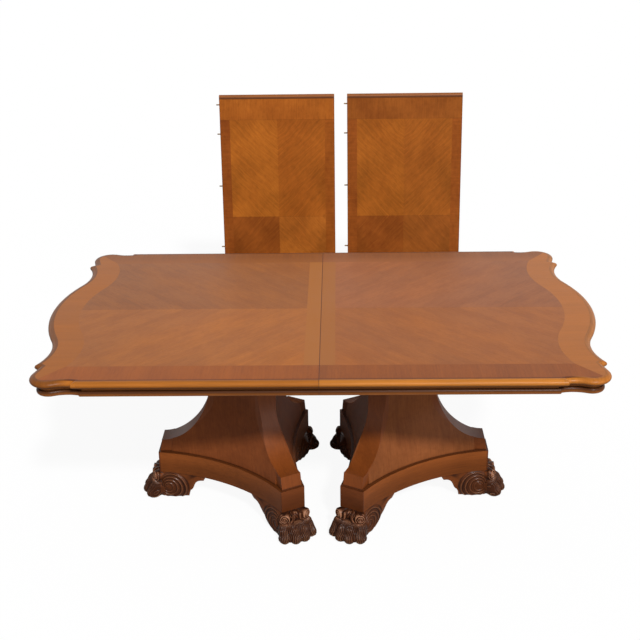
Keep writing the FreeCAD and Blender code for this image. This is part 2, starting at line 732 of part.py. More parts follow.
def face_waste(index):
    """Space in front of a concave face."""
    start, middle, end = face_arc(index, 0.0)
    out = face_way(index) * PLINTH_REACH

    def section(shift):
        corners = [end + shift, end + out + shift, start + out + shift, start + shift]
        edges = [arc(start + shift, middle + shift, end + shift)]
        edges += [line(corners[i], corners[i + 1]) for i in range(len(corners) - 1)]
        return Part.Wire(edges)

    return leaning(index, section)


def fin(index):
    """Corner board of one arm, planed flush with the two concave faces beside it."""
    board = fin_slab(index, POST_FLAT, FIN_THICKNESS / 2)
    return one_solid(board.cut(face_waste(index)).cut(face_waste(index - 1)))


def face_panel(index):
    """Bent panel of one concave face, let in between two fins and trimmed to their edges."""
    start, middle, end = face_arc(index, 0.0)
    inner_start, inner_middle, inner_end = face_arc(index, PANEL_THICKNESS)

    def section(shift):
        return Part.Wire([
            arc(start + shift, middle + shift, end + shift),
            line(end + shift, inner_end + shift),
            arc(inner_end + shift, inner_middle + shift, inner_start + shift),
            line(inner_start + shift, start + shift),
        ])

    panel = leaning(index, section)
    for arm in (index, index + 1):
        arm = arm % len(ARM_ANGLES)
        side = FIN_THICKNESS / 2
        room = block(0, 2 * PLINTH_REACH, -side, side, PLINTH_TOP, CAP_UNDERSIDE)
        panel = panel.cut(room.rotated(ORIGIN, Z_AXIS, ARM_ANGLES[arm]))
        panel = panel.cut(fin_slab(arm, 2 * PLINTH_REACH, PLINTH_REACH))
    return one_solid(panel)


def centre_post():
    """Post that the fins are fixed to, flat where they meet it and bored for the tie rod."""
    post = upright(POST_RADIUS, 0, 0, PLINTH_TOP, CAP_UNDERSIDE)
    beyond = POST_RADIUS + CUT_OVERRUN
    for angle in ARM_ANGLES:
        waste = block(POST_FLAT, beyond, -POST_RADIUS, POST_RADIUS, PLINTH_TOP, CAP_UNDERSIDE)
        post = post.cut(waste.rotated(ORIGIN, Z_AXIS, angle))
    return one_solid(post.cut(upright(ROD_RADIUS + ROD_CLEARANCE, 0, 0, PLINTH_TOP, CAP_UNDERSIDE)))


def cap_bolt_places():
    far = CAP_SIZE / 2 - CAP_BOLT_INSET
    near = CAP_SIZE / 2 - CAP_CORNER - CAP_BOLT_RADIUS
    return [(x, y) for x in (-near, near) for y in (-far, far)]


def cap_plate():
    """Square plate with cut corners on top of the pedestal."""
    far = CAP_SIZE / 2
    near = far - CAP_CORNER
    quarter = [vec(far, near, CAP_UNDERSIDE), vec(near, far, CAP_UNDERSIDE)]
    corners = []
    for turn in (0, 90, 180, 270):
        corners += [FreeCAD.Rotation(Z_AXIS, turn).multVec(corner) for corner in quarter]
    plate = prism(Part.makePolygon(corners + corners[:1]), CAP_THICKNESS)
    bolt_hole = CAP_BOLT_RADIUS + BOLT_CLEARANCE
    holes = [upright(bolt_hole, x, y, CAP_UNDERSIDE, BLOCK_UNDERSIDE) for x, y in cap_bolt_places()]
    holes.append(upright(ROD_RADIUS + ROD_CLEARANCE, 0, 0, CAP_UNDERSIDE, BLOCK_UNDERSIDE))
    return one_solid(plate.cut(group(holes)))


def rod_well_depth():
    """Depth of the wells that hide the ends of the tie rod."""
    return WASHER_THICKNESS + NUT_HEIGHT + ROD_SPARE


def mounting_block():
    """Block glued under the top that the pedestal is bolted to."""
    length = BLOCK_LENGTH / 2
    width = BLOCK_WIDTH / 2
    body = block(-length, length, -width, width, BLOCK_UNDERSIDE, TOP_UNDERSIDE)
    bite = BLOCK_UNDERSIDE + CAP_BOLT_BITE
    bolt_hole = CAP_BOLT_RADIUS + BOLT_CLEARANCE
    holes = [upright(bolt_hole, x, y, BLOCK_UNDERSIDE, bite) for x, y in cap_bolt_places()]
    holes.append(upright(NUT_WELL_RADIUS, 0, 0, BLOCK_UNDERSIDE, BLOCK_UNDERSIDE + rod_well_depth()))
    return one_solid(body.cut(group(holes)))


def pedestal_fasteners():
    """Tie rod with its nuts and washers, and the bolts of the cap plate."""
    low = FOOT_HEIGHT + rod_well_depth()
    high = BLOCK_UNDERSIDE
    reach = WASHER_THICKNESS + NUT_HEIGHT + ROD_SPARE / 2
    pieces = [upright(ROD_RADIUS, 0, 0, low - reach, high + reach)]
    bore = upright(ROD_RADIUS + NUT_CLEARANCE, 0, 0, 0, TABLE_HEIGHT)
    for face, sign in ((low, -1), (high, 1)):
        levels = sorted((face, face + sign * WASHER_THICKNESS))
        pieces.append(upright(WASHER_RADIUS, 0, 0, levels[0], levels[1]).cut(bore))
        start = face + sign * WASHER_THICKNESS
        levels = sorted((start, start + sign * NUT_HEIGHT))
        pieces.append(hex_prism(NUT_FLATS, 0, 0, levels[0], levels[1]).cut(bore))
    for x, y in cap_bolt_places():
        head = hex_prism(CAP_BOLT_FLATS, x, y, CAP_UNDERSIDE - CAP_BOLT_HEAD, CAP_UNDERSIDE)
        shank = upright(CAP_BOLT_RADIUS, x, y, CAP_UNDERSIDE, BLOCK_UNDERSIDE + CAP_BOLT_BITE)
        pieces.append(head.fuse(shank))
    return group([one_solid(piece) for piece in pieces])


# Carved paw foot, built with its arm towards +X


def bevelled_disc(radius, proud, bevel, depth):
    """Disc about Z from below zero up to proud, with a bevelled rim."""
    shoulder = proud - bevel
    body = upright(radius, 0, 0, -depth, shoulder)
    return body.fuse(Part.makeCone(radius, radius - bevel, bevel, vec(0, 0, shoulder)))


def carved_roll(radii, prouds, discs, drift, bevel, depth):
    """Volute about Z: ever smaller discs that stand ever prouder and drift to the eye's place."""
    pieces = []
    for step in range(discs):
        share = step / (discs - 1)
        radius = radii[0] + (radii[1] - radii[0]) * share
        proud = prouds[0] + (prouds[1] - prouds[0]) * share
        pieces.append(bevelled_disc(radius, proud, bevel, depth).translated(drift * share))
    return pieces[0].multiFuse(pieces[1:])


def sole_room():
    """Room between the foot's flanks, which spread from the narrow sole up to the plinth."""
    low = SOLE_WIDTH / 2
    high = low + (FOOT_HEIGHT - GLIDE_THICKNESS) * SOLE_FLARE_SHARE
    corners = [
        vec(0, -low, GLIDE_THICKNESS),
        vec(0, low, GLIDE_THICKNESS),
        vec(0, high, FOOT_HEIGHT),
        vec(0, -high, FOOT_HEIGHT),
    ]
    return Part.Face(Part.makePolygon(corners + corners[:1])).extrude(vec(2 * PLINTH_REACH, 0, 0))


def bracket_block():
    """Block under the plinth's arm, cut to an ogee bracket line behind the paw."""
    end_width = PLINTH_END_WIDTH - 2 * FOOT_EASE
    plan = tri_outline(PLINTH_REACH - FOOT_EASE, end_width, PLINTH_FACE - FOOT_EASE, GLIDE_THICKNESS)
    arm = prism(plan, FOOT_HEIGHT - GLIDE_THICKNESS).rotated(ORIGIN, Z_AXIS, -ARM_ANGLES[0])
    run = HEEL_REACH - BRACKET_REACH
    rise = FOOT_HEIGHT - GLIDE_THICKNESS

    def bracket_point(shares):
        return vec(BRACKET_REACH + run * shares[0], 0, GLIDE_THICKNESS + rise * shares[1])

    top = vec(BRACKET_REACH, 0, FOOT_HEIGHT)
    cusp = bracket_point(BRACKET_CUSP_SHARES)
    heel = vec(HEEL_REACH, 0, GLIDE_THICKNESS)
    cove = [bracket_point(shares) for shares in BRACKET_COVE_SHARES]
    ogee = Part.BSplineCurve()
    ogee.interpolate([cusp] + [bracket_point(shares) for shares in BRACKET_OGEE_SHARES] + [heel])
    front = vec(PLINTH_REACH, 0, GLIDE_THICKNESS)
    edges = [
        line(top, cove[0]),
        arc(cove[0], cove[1], cusp),
        ogee.toShape(),
        line(heel, front),
        line(front, vec(PLINTH_REACH, 0, FOOT_HEIGHT)),
        line(vec(PLINTH_REACH, 0, FOOT_HEIGHT), top),
    ]
    side = Part.Face(Part.Wire(edges)).extrude(vec(0, 2 * PLINTH_REACH, 0))
    side.translate(vec(0, -PLINTH_REACH, 0))
    return one_solid(arm.common(side))


def instep_section(place, growth, height):
    """Upright oval section of the paw, standing on the foot's base."""
    x = PLINTH_REACH + (TOE_REACH - PLINTH_REACH) * place
    half = (INSTEP_WIDTH + (INSTEP_FRONT_WIDTH - INSTEP_WIDTH) * growth) / 2
    rise = (FOOT_HEIGHT - GLIDE_THICKNESS) * height / 2
    ring = stretched(Part.Wire(Part.makeCircle(1, ORIGIN, X_AXIS)), 1, half, rise)
    return ring.translated(vec(x, 0, GLIDE_THICKNESS + rise)).Wires[0]


def egg(length, width, height, place):
    """Ellipsoid of the given sizes about place."""
    return stretched(Part.makeSphere(1), length / 2, width / 2, height / 2).translated(place)


def toe(place):
    """One clawed toe: a round pad, a knuckle above it and a short claw at its tip."""
    pad = egg(TOE_LENGTH, TOE_WIDTH, TOE_HEIGHT, vec(-TOE_LENGTH / 2, 0, TOE_LIFT))
    knuckle = egg(KNUCKLE_LENGTH, KNUCKLE_WIDTH, KNUCKLE_HEIGHT, vec(-KNUCKLE_BACK, 0, KNUCKLE_LIFT))
    claw_start = vec(-CLAW_LENGTH, 0, CLAW_LIFT)
    claw = Part.makeCone(CLAW_RADIUS, CLAW_TIP_RADIUS, CLAW_LENGTH, claw_start, X_AXIS)
    whole = pad.multiFuse([knuckle, claw]).rotated(ORIGIN, Z_AXIS, TOE_SPREAD_ANGLE * place)
    inner, outer = TOE_PLACES[1] ** 2, TOE_PLACES[0] ** 2
    setback = OUTER_TOE_SETBACK * (place ** 2 - inner) / (outer - inner)
    return whole.translated(vec(TOE_REACH - setback, TOE_PITCH * place, GLIDE_THICKNESS))


def flank_volutes():
    """Volute on each flank of the foot."""
    half = PLINTH_END_WIDTH / 2
    flank = half + (PLINTH_REACH - VOLUTE_REACH) * math.tan(math.radians(VOLUTE_TURN))
    radii = (VOLUTE_RADIUS, VOLUTE_EYE_RADIUS)
    prouds = (VOLUTE_PROUD, VOLUTE_EYE_PROUD)
    volutes = []
    for side in (-1, 1):
        drift = vec(VOLUTE_DRIFT, side * VOLUTE_DROP)
        volute = carved_roll(radii, prouds, VOLUTE_DISCS, drift, VOLUTE_BEVEL, half)
        volute = volute.rotated(ORIGIN, X_AXIS, -90 * side).rotated(ORIGIN, Z_AXIS, -VOLUTE_TURN * side)
        volutes.append(volute.translated(vec(VOLUTE_REACH, side * flank, VOLUTE_LIFT)))
    return volutes


def corner_scrolls():
    """Scroll under each front corner of the plinth."""
    radii = (SCROLL_RADIUS, SCROLL_EYE_RADIUS)
    prouds = (SCROLL_PROUD, SCROLL_EYE_PROUD)
    scrolls = []
    for side in (-1, 1):
        scroll = carved_roll(radii, prouds, SCROLL_DISCS, ORIGIN, SCROLL_BEVEL, SCROLL_LENGTH)
        scroll = scroll.rotated(ORIGIN, Y_AXIS, 90).rotated(ORIGIN, Z_AXIS, SCROLL_TURN * side)
        corner = vec(PLINTH_REACH + SCROLL_OVERHANG, side * PLINTH_END_WIDTH / 2, FOOT_HEIGHT - SCROLL_RADIUS)
        scrolls.append(scroll.translated(corner))
    return scrolls


def paw_foot():
    """Whole carved foot: bracket, instep, toes, flank volutes and the two corner scrolls."""
    instep = Part.makeLoft([instep_section(*shares) for shares in INSTEP_SHARES], True, False)
    toes = [toe(place) for place in TOE_PLACES]
    heel = bracket_block().multiFuse(flank_volutes()).common(sole_room())
    foot = heel.multiFuse([instep] + toes + corner_scrolls())
    keep = block(0, 2 * TOE_REACH, -TOE_REACH, TOE_REACH, GLIDE_THICKNESS, FOOT_HEIGHT)
    return max(foot.common(keep).Solids, key=lambda solid: solid.Volume)


def floor_glides():
    """Round glides under the three feet."""
    reach = (HEEL_REACH + TOE_REACH) / 2
    glides = []
    for index in range(len(ARM_ANGLES)):
        place = arm_way(index) * reach
        glides.append(upright(GLIDE_RADIUS, place.x, place.y, 0, GLIDE_THICKNESS))
    return group(glides)


# Loose leaf, built flat as it lies in the opened table and then stood on end


def leaf_edging(profile, half):
    """Front and rear lengths of an edging with the given profile."""
    lengths = []
    for sign in (-1, 1):
        wire = profile(sign)
        length = Part.Face(wire).extrude(vec(2 * half, 0, 0))
        lengths.append(length.translated(vec(-half, 0, 0)))
    return group([one_solid(length) for length in lengths])


def round_edge(sign, setback, depth, z0, height):
    """Half oval edge line from the lower to the upper shoulder, set back from the leaf's end."""
    outer = HALF_DEPTH - setback
    points = [vec(0, sign * (outer - inset), z0 + rise) for inset, rise in round_profile(depth, height)]
    curve = Part.BSplineCurve()
    curve.interpolate(points)
    return curve.toShape()


def bullnose_wire(sign):
    shoulder = sign * (HALF_DEPTH - BULLNOSE_DEPTH)
    inner = sign * (HALF_DEPTH - LIPPING_WIDTH)
    return Part.Wire([
        line(vec(0, inner, TOP_UNDERSIDE), vec(0, inner, TABLE_HEIGHT)),
        line(vec(0, inner, TABLE_HEIGHT), vec(0, shoulder, TABLE_HEIGHT)),
        round_edge(sign, 0.0, BULLNOSE_DEPTH, TOP_UNDERSIDE, TOP_THICKNESS),
        line(vec(0, shoulder, TOP_UNDERSIDE), vec(0, inner, TOP_UNDERSIDE)),
    ])


def bead_wire(sign):
    low = TOP_UNDERSIDE - MOULDING_HEIGHT
    shoulder = sign * (HALF_DEPTH - MOULDING_SETBACK - BEAD_DEPTH)
    neck = sign * (HALF_DEPTH - MOULDING_SETBACK - COVE_DEPTH)
    inner = sign * (HALF_DEPTH - MOULDING_SETBACK - MOULDING_WIDTH)
    bead_top = low + BEAD_HEIGHT
    return Part.Wire([
        line(vec(0, inner, low), vec(0, inner, TOP_UNDERSIDE)),
        line(vec(0, inner, TOP_UNDERSIDE), vec(0, neck, TOP_UNDERSIDE)),
        line(vec(0, neck, TOP_UNDERSIDE), vec(0, neck, bead_top)),
        line(vec(0, neck, bead_top), vec(0, shoulder, bead_top)),
        round_edge(sign, MOULDING_SETBACK, BEAD_DEPTH, low, BEAD_HEIGHT),
        line(vec(0, shoulder, low), vec(0, inner, low)),
    ])


def leaf_pieces():
    """Pieces of one leaf, flat and centred on the table."""
    half = (LEAF_WIDTH - SEAM_GAP) / 2
    edge = HALF_DEPTH - LIPPING_WIDTH
    band_y = edge - LEAF_END_BAND_WIDTH
    band_x = half - LEAF_SIDE_BAND_WIDTH
    core = block(-half, half, -edge, edge, TOP_UNDERSIDE, CORE_TOP)
    drilled = [pin_hole(half, y, CORE_MIDDLE) for y in PIN_PLACES]
    drilled += [pin_seat(-half, y, CORE_MIDDLE) for y in PIN_PLACES]
    z0 = CORE_TOP
    z1 = TABLE_HEIGHT
    quarters = [block(-band_x, 0, -band_y, 0, z0, z1), block(0, band_x, -band_y, 0, z0, z1)]
    quarters += [block(-band_x, 0, 0, band_y, z0, z1), block(0, band_x, 0, band_y, z0, z1)]
    bands = [block(-half, half, -edge, -band_y, z0, z1), block(-half, half, band_y, edge, z0, z1)]
    bands += [block(-half, -band_x, -band_y, band_y, z0, z1), block(band_x, half, -band_y, band_y, z0, z1)]
    return {
        "core": one_solid(core.cut(group(drilled))),
        "end_lipping": leaf_edging(bullnose_wire, half),
        "under_moulding": leaf_edging(bead_wire, half),
        "field_veneer": group(quarters),
        "band_veneer": group(bands),
        "seam_pins": group([side_pin(-half, y, CORE_MIDDLE) for y in PIN_PLACES]),
    }


def stood_on_end(pieces, x):
    """Turns a leaf's flat pieces up on their end, leaning back on the floor with the top face in front."""
    turned = {name: piece.rotated(ORIGIN, X_AXIS, 90 - LEAF_LEAN) for name, piece in pieces.items()}
    lowest = turned["end_lipping"].optimalBoundingBox(False, False).ZMin
    front = turned["band_veneer"].optimalBoundingBox(False, False).YMin
    place = vec(x, LEAF_STAND_Y - front, -lowest)
    return {name: piece.translated(place) for name, piece in turned.items()}


# Assembly


def pedestal_pieces():
    """Pieces of one pedestal about its own axis, with its outer arm towards -X."""
    arms = range(len(ARM_ANGLES))
    pieces = {
        "plinth": plinth(),
        "pedestal_fins": group([fin(index) for index in arms]),
        "pedestal_panels": group([face_panel(index) for index in arms]),
        "centre_post": centre_post(),
        "cap_plate": cap_plate(),
        "mounting_block": mounting_block(),
        "pedestal_fasteners": pedestal_fasteners(),
        "floor_glides": floor_glides(),
    }
    foot = paw_foot()
    for index in arms:
        pieces["paw_foot_" + ARM_NAMES[index]] = foot.rotated(ORIGIN, Z_AXIS, ARM_ANGLES[index])
    return pieces


def left_half_pieces():
    """Pieces that the two halves share, in place on the left half."""
    fields, crossbands, end_band = veneer_regions()
    pieces = {
        "edge_lipping": edge_lipping(),
        "under_moulding": under_moulding(),
        "field_veneer": fields,
        "crossband_veneer": crossbands,
        "end_band_veneer": end_band,
        "slide_rails": group([left_rail(set_y) for set_y in SLIDE_SETS]),
        "rail_screws": rail_screws(),
    }
    for name, shape in pedestal_pieces().items():
        pieces[name] = shape.translated(vec(-PEDESTAL_X, 0, 0))
    return pieces


def all_nodes():
    nodes = {}
    for name, shape in left_half_pieces().items():
        nodes[name + "_left"] = shape
        nodes[TURNED_NAMES.get(name, name) + "_right"] = half_turn(shape)
    nodes["top_core_left"], nodes["top_core_right"] = top_cores()
    nodes["seam_pins_right"] = group([side_pin(SEAM_X, y, CORE_MIDDLE) for y in PIN_PLACES])
    for y_sign, place in ((-1, "front"), (1, "rear")):
        nodes["middle_rail_" + place] = middle_rail(y_sign * SLIDE_Y)
        nodes["lock_lever_" + place] = lock_lever(y_sign)
    nodes["lock_bases"] = group([lock_base(y_sign) for y_sign in (-1, 1)])
    nodes["lock_keepers"] = group([lock_keeper(y_sign) for y_sign in (-1, 1)])
    leaf = leaf_pieces()
    for side, x in (("left", LEAF_LEFT_X), ("right", LEAF_RIGHT_X)):
        for name, shape in stood_on_end(leaf, x).items():
            nodes["leaf_" + side + "_" + name] = shape
    return nodes


os.makedirs("parts", exist_ok=True)
for node, shape in all_nodes().items():
    shape.exportStep("parts/" + node + ".step")
    print(node, len(shape.Solids), shape.isValid(), round(shape.Volume))
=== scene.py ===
import math

import bpy
import numpy as np
from mathutils import Matrix, Vector


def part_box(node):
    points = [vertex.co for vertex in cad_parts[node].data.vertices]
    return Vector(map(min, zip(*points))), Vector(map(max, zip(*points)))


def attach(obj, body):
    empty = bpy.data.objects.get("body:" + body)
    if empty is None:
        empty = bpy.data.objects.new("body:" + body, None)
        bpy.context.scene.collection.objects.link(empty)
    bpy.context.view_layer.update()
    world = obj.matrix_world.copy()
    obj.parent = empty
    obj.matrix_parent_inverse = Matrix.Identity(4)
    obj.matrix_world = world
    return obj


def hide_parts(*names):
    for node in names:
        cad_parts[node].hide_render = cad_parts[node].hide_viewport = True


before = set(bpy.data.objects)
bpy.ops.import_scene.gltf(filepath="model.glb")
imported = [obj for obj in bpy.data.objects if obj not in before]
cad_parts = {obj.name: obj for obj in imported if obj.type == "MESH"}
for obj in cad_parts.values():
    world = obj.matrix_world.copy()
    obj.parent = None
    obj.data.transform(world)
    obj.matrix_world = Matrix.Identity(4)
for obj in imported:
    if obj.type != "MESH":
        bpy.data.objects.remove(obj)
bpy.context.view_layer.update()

# Photograph's frame and camera, in pixels, metres and radians
IMAGE_WIDTH = 640
FOCAL_PIXELS = 1122.5
SENSOR_WIDTH_MM = 36.0
CAMERA_PLACE = (0.0668, -3.6628, 2.2906)
CAMERA_PITCH = 0.4100
CAMERA_YAW = -0.0196
CAMERA_ROLL = -0.0146

# Studio: half width of the floor, lamps as way, angle and strength, and the light of the white surround
FLOOR_HALF = 40.0
FLOOR_GREY = (0.40, 0.40, 0.40)
FLOOR_GLOW_SHARE = 0.93
WHITE = (1.0, 1.0, 1.0)
KEY_LIGHT = ((0.24, -0.70, 0.66), 0.09, 2.95)
FILL_LIGHT = ((0.52, -0.80, 0.28), 0.90, 0.95)
LAMP_DISTANCE = 6.0
SURROUND_LIGHT = 0.30

# Places of the top and the leaves that the finishes follow, in metres
FIELD_EDGE_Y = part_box("field_veneer_left")[1][1]
TOP_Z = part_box("field_veneer_left")[1][2]
BAND_FRONT_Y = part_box("crossband_veneer_left")[0][1]
STRAIGHT_REACH = 0.767
BEAD_HEIGHT = 0.018
BEAD_TOP_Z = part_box("under_moulding_left")[0][2] + BEAD_HEIGHT
LIPPING_LOW_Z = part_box("under_moulding_left")[1][2]
LEAF_LEAN = math.radians(5.5)

# Widths of glaze lines, painted shade lines, painted highlight and fading on the finishes, in metres
JOINT_LINE = 0.0006
FIELD_LINE = 0.0008
SEAM_LINE = 0.0013
EDGE_SEAM_LINE = 0.0010
RIM_LINE = 0.0025
RIM_DEPTH = 0.0008
PAINTED_SHADE_LINE = 0.005
FIELD_FADE = (0.20, 0.75)
BAND_SHADE = 0.014
REAR_BAND_FADE = 0.07
END_BLEND = 0.02
END_FADE = 0.06
UNDER_PAINTED_SHADE = 0.017
COVE_FOOT = (0.0005, 0.003)
BEAD_PAINTED_SHADE = (0.015, 0.0025)
LEAF_LINE = 0.0009
LEAF_EDGE_LINE = 0.003
LEAF_RIM = (0.0002, 0.0006)
PLINTH_END_LINE = (0.003, 0.001)
PLINTH_HIGHLIGHT_DEPTH = 0.020
HAIR_HIGHLIGHT_FADE = (0.006, 0.022)
DUST_HEIGHT = 0.002
WOOD_BUMP = 0.0004
CARVED_BUMP = 0.0006
FINE_BUMP = 0.0002

# Three-armed pedestals, in metres and degrees
PEDESTAL_X = 0.265
OUTER_ARM = 180.0
INNER_ARM = 62.0
PLINTH_HALF_END = 0.045
PLINTH_FACE = 0.160
PLINTH_REACH = -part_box("plinth_left")[0][0] - PEDESTAL_X
FOOT_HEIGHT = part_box("plinth_left")[0][2]
PLINTH_TOP_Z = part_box("plinth_left")[1][2]

# Grid of the carved foot, and how its rays walk in
FOOT_AXIS = 0.3245
FOOT_AROUND = 760
FOOT_ROWS = 118
FOOT_START = 0.19
FOOT_STEPS = 48
FOOT_STEP_SHARE = 0.60

# Bracket of the foot with its ogee heel, in metres from the pedestal's axis, the arm's line and the floor
FOOT_EASE = 0.002
FOOT_LOW = 0.0006
FOOT_DISH = 0.0036
HEEL_UPS = (
    0.000, 0.012, 0.024, 0.033, 0.036, 0.044, 0.052, 0.062, 0.072, 0.079, 0.0825, 0.0840, 0.104,
)
HEEL_OUTS = (
    0.2415, 0.2400, 0.2365, 0.2320, 0.2275, 0.2225, 0.2190, 0.2155, 0.2105, 0.2030, 0.1965, 0.1800, 0.1700,
)
SOLE_HALF = 0.0475
SOLE_FLARE = 0.40
FRONT_SWELL = 0.004
FRONT_SWELL_DROPS = (0.004, 0.012)
FLANK_JOIN = 0.012
BRACKET_JOIN = 0.004

# Reeded volute on each flank
VOLUTE_EYE = (0.323, 0.044)
VOLUTE_EYE_RADIUS = 0.0042
VOLUTE_EYE_HEIGHT = 0.0032
VOLUTE_REACH = 0.0325
VOLUTE_STRETCH = 1.62
VOLUTE_RIM = 0.0035
VOLUTE_LIFT = 0.0030
VOLUTE_DOME = 0.0062
REED_PITCH = 0.0064
REED_DEPTH = 0.0019
REED_START = (0.003, 0.008)

# Scroll under each front corner, and the ribbon that winds in under it
SCROLL_PLACE = (0.353, 0.0375, 0.0850)
SCROLL_RADIUS = 0.0195
SCROLL_TURN = math.radians(31)
SCROLL_FACE = 0.0118
SCROLL_BACK = 0.016
SCROLL_DOME = 0.003
SCROLL_EYE_RADIUS = 0.0032
SCROLL_EYE_HEIGHT = 0.003
SCROLL_FIRST_REED = 0.0042
SCROLL_GROWTH = 1.75
SCROLL_REED_DEPTH = 0.0034
SCROLL_REED_START = (0.002, 0.006)
SCROLL_JOIN = 0.0015
RIBBON_SWEEP = math.radians(150)
RIBBON_RADIUS = 0.0050
RIBBON_TAPER = 0.0012
RIBBON_GAP = 0.003
RIBBON_SPREAD = 0.014
RIBBON_AHEAD = 0.010
RIBBON_SETBACK = 0.006
RIBBON_FLATNESS = 0.8
RIBBON_END_SLOPE = 0.03

# Paw: eggs as centre and radii, the toes' in each toe's own frame, with hair combed over them
INSTEP = ((0.349, 0, 0.028), (0.045, 0.057, 0.040))
COLLAR = ((0.357, 0, 0.0585), (0.031, 0.061, 0.0190))
BROW = ((0.349, 0, 0.0840), (0.0195, 0.0440, 0.0180))
TOE_PAD = ((-0.0280, 0, 0.0165), (0.0280, 0.0215, 0.0225))
TOE_KNUCKLE = ((-0.0430, 0, 0.0400), (0.0290, 0.0205, 0.0235))
COLLAR_JOIN = 0.010
BROW_JOIN = 0.003
KNUCKLE_JOIN = 0.012
TOE_JOIN = 0.010
PAW_JOIN = 0.007
TOE_TIP = 0.4175
TOE_PITCH = 0.038
TOE_SETBACK = 0.0092
TOE_TURN = math.radians(11)
TOE_PLACES = (-1.5, -0.5, 0.5, 1.5)
HAIR_PITCH = 0.0062
HAIR_DEPTH = 0.0022
HAIR_MEAN = 0.64
HAIR_WAVE = (0.8, 170)
HAIR_PHASES = (2.1, 1.7)
HEM_HEIGHT = 0.0045
HEM_RAGGED = 0.0035
HEM_SOFT = 0.002
HEM_STEP = 0.0015
MANE_CENTRE = 0.29
MANE_PITCH = 0.048
MANE_WAVE = (0.7, 190)
MANE_OUTS = (0.350, 0.362)
FROND_PITCH = 0.0100
FROND_DEPTH = 0.0030
FROND_LEAN = 0.30
FROND_WAVE = (1.3, 150)

# Stain on the carving: how hollows are found, where the dark stain starts and where hands rub it off
HOLLOW_BLUR = 4
HOLLOW_DEPTH = 0.0014
STAIN_EDGE = 0.003
STAIN_FRONT = (0.007, 0.002)
RUBBED_OUT = 0.007
RUBBED_OVER = 0.002
RUBBED_EDGE = 0.004
RUBBED_UPS = (0.066, 0.072)
RUBBED_OUTS = (0.350, 0.356)


def smooth_join(a, b, width):
    """Union of two distance fields whose meeting line is rounded over the given width."""
    near = np.maximum(width - np.abs(a - b), 0) / width
    return np.minimum(a, b) - near * near * width / 4


def egg(place, centre, radii):
    """Distance to an ellipsoid: its scaled radius less one, over the length of that radius's slope."""
    scaled = [(p - c) / r for p, c, r in zip(place, centre, radii)]
    size = np.sqrt(sum(q * q for q in scaled))
    slope = np.sqrt(sum((q / r) ** 2 for q, r in zip(scaled, radii)))
    return size * (size - 1) / np.maximum(slope, 1e-6)


def ease(value, low, high):
    """Zero below low, one above high, and a smooth step between them."""
    share = np.clip((value - low) / (high - low), 0, 1)
    return share * share * (3 - 2 * share)


def wave_at(up, wave, phase=0.0):
    """Sway of carved lines: the wave's size times the sine of the height by its rate, plus a phase."""
    size, rate = wave
    return size * np.sin(up * rate + phase)


def flank_reach(along, up, half_angle):
    """Half width of the foot: the plinth's round plan, held in below by flanks that spread from the sole."""
    turn = math.radians(half_angle)
    across, out = math.cos(turn), math.sin(turn)
    corner = PLINTH_REACH ** 2 + PLINTH_HALF_END ** 2
    lean = PLINTH_REACH * across + PLINTH_HALF_END * out
    centre = (corner - PLINTH_FACE ** 2) / (2 * (lean - PLINTH_FACE))
    radius = centre - PLINTH_FACE
    plan = centre * out - np.sqrt(radius ** 2 - (centre * across - along) ** 2) - FOOT_EASE
    return smooth_join(plan, SOLE_HALF + SOLE_FLARE * up, FLANK_JOIN)


def volute_place(along, up):
    """Reach from the volute's eye, with its oval drawn out towards the heel, and the angle about the eye."""
    out, rise = along - VOLUTE_EYE[0], up - VOLUTE_EYE[1]
    turn = np.arctan2(rise, out)
    return np.hypot(out, rise) / (1 + VOLUTE_STRETCH * (0.5 - 0.5 * np.cos(turn))), turn


def flank_volute(along, up):
    """Height of the flank's scroll: a low dome with reeds on an even spiral and a round eye in the middle."""
    reach, turn = volute_place(along, up)
    winding = reach / REED_PITCH - turn / math.tau
    reeds = 0.75 * np.cos(math.tau * winding) + 0.25 * np.cos(2 * math.tau * winding)
    dome = VOLUTE_DOME * (1 - np.clip(reach / VOLUTE_REACH, 0, 1) ** 2)
    eye = VOLUTE_EYE_HEIGHT * np.exp(-(reach / VOLUTE_EYE_RADIUS) ** 2)
    depth = REED_DEPTH * ease(reach, *REED_START)
    return ease(VOLUTE_REACH - reach, 0, VOLUTE_RIM) * (VOLUTE_LIFT + dome + eye + depth * reeds)


def corner_scroll(along, side, up, hand):
    """Roll under a front corner: a short cylinder with a spiral face, and a ribbon that winds in under it."""
    turn = SCROLL_TURN * hand
    out, over, rise = along - SCROLL_PLACE[0], side - hand * SCROLL_PLACE[1], up - SCROLL_PLACE[2]
    axis = out * math.cos(turn) + over * math.sin(turn)
    cross = (over * math.cos(turn) - out * math.sin(turn)) * hand
    reach = np.hypot(cross, rise)
    angle = np.arctan2(rise, cross)
    growth = np.log(np.maximum(reach, 1e-4) / SCROLL_FIRST_REED) / math.log(SCROLL_GROWTH)
    reeds = np.cos(math.tau * (growth - angle / math.tau))
    dome = SCROLL_DOME * (1 - (reach / SCROLL_RADIUS) ** 2)
    eye = SCROLL_EYE_HEIGHT * np.exp(-(reach / SCROLL_EYE_RADIUS) ** 2)
    face = SCROLL_FACE + dome + SCROLL_REED_DEPTH * reeds * ease(reach, *SCROLL_REED_START) + eye
    roll = np.maximum(reach - SCROLL_RADIUS, np.maximum(axis - face, -SCROLL_BACK - axis))
    sweep = np.mod(-(angle + math.pi / 2), math.tau)
    share = np.clip(sweep / RIBBON_SWEEP, 0, 1)
    line = SCROLL_RADIUS + RIBBON_GAP + RIBBON_SPREAD * share
    off = np.hypot(reach - line, (axis - RIBBON_AHEAD + RIBBON_SETBACK * share) * RIBBON_FLATNESS)
    past_end = np.maximum(sweep - RIBBON_SWEEP, 0) * RIBBON_END_SLOPE
    return np.minimum(roll, off - RIBBON_RADIUS + RIBBON_TAPER * share + past_end)


def combed_hair(across, pitch, wave):
    """Ridges of combed hair: rounded strands of the given pitch whose lines sway by the wave."""
    return np.abs(np.sin(math.pi * across / pitch + wave)) - HAIR_MEAN


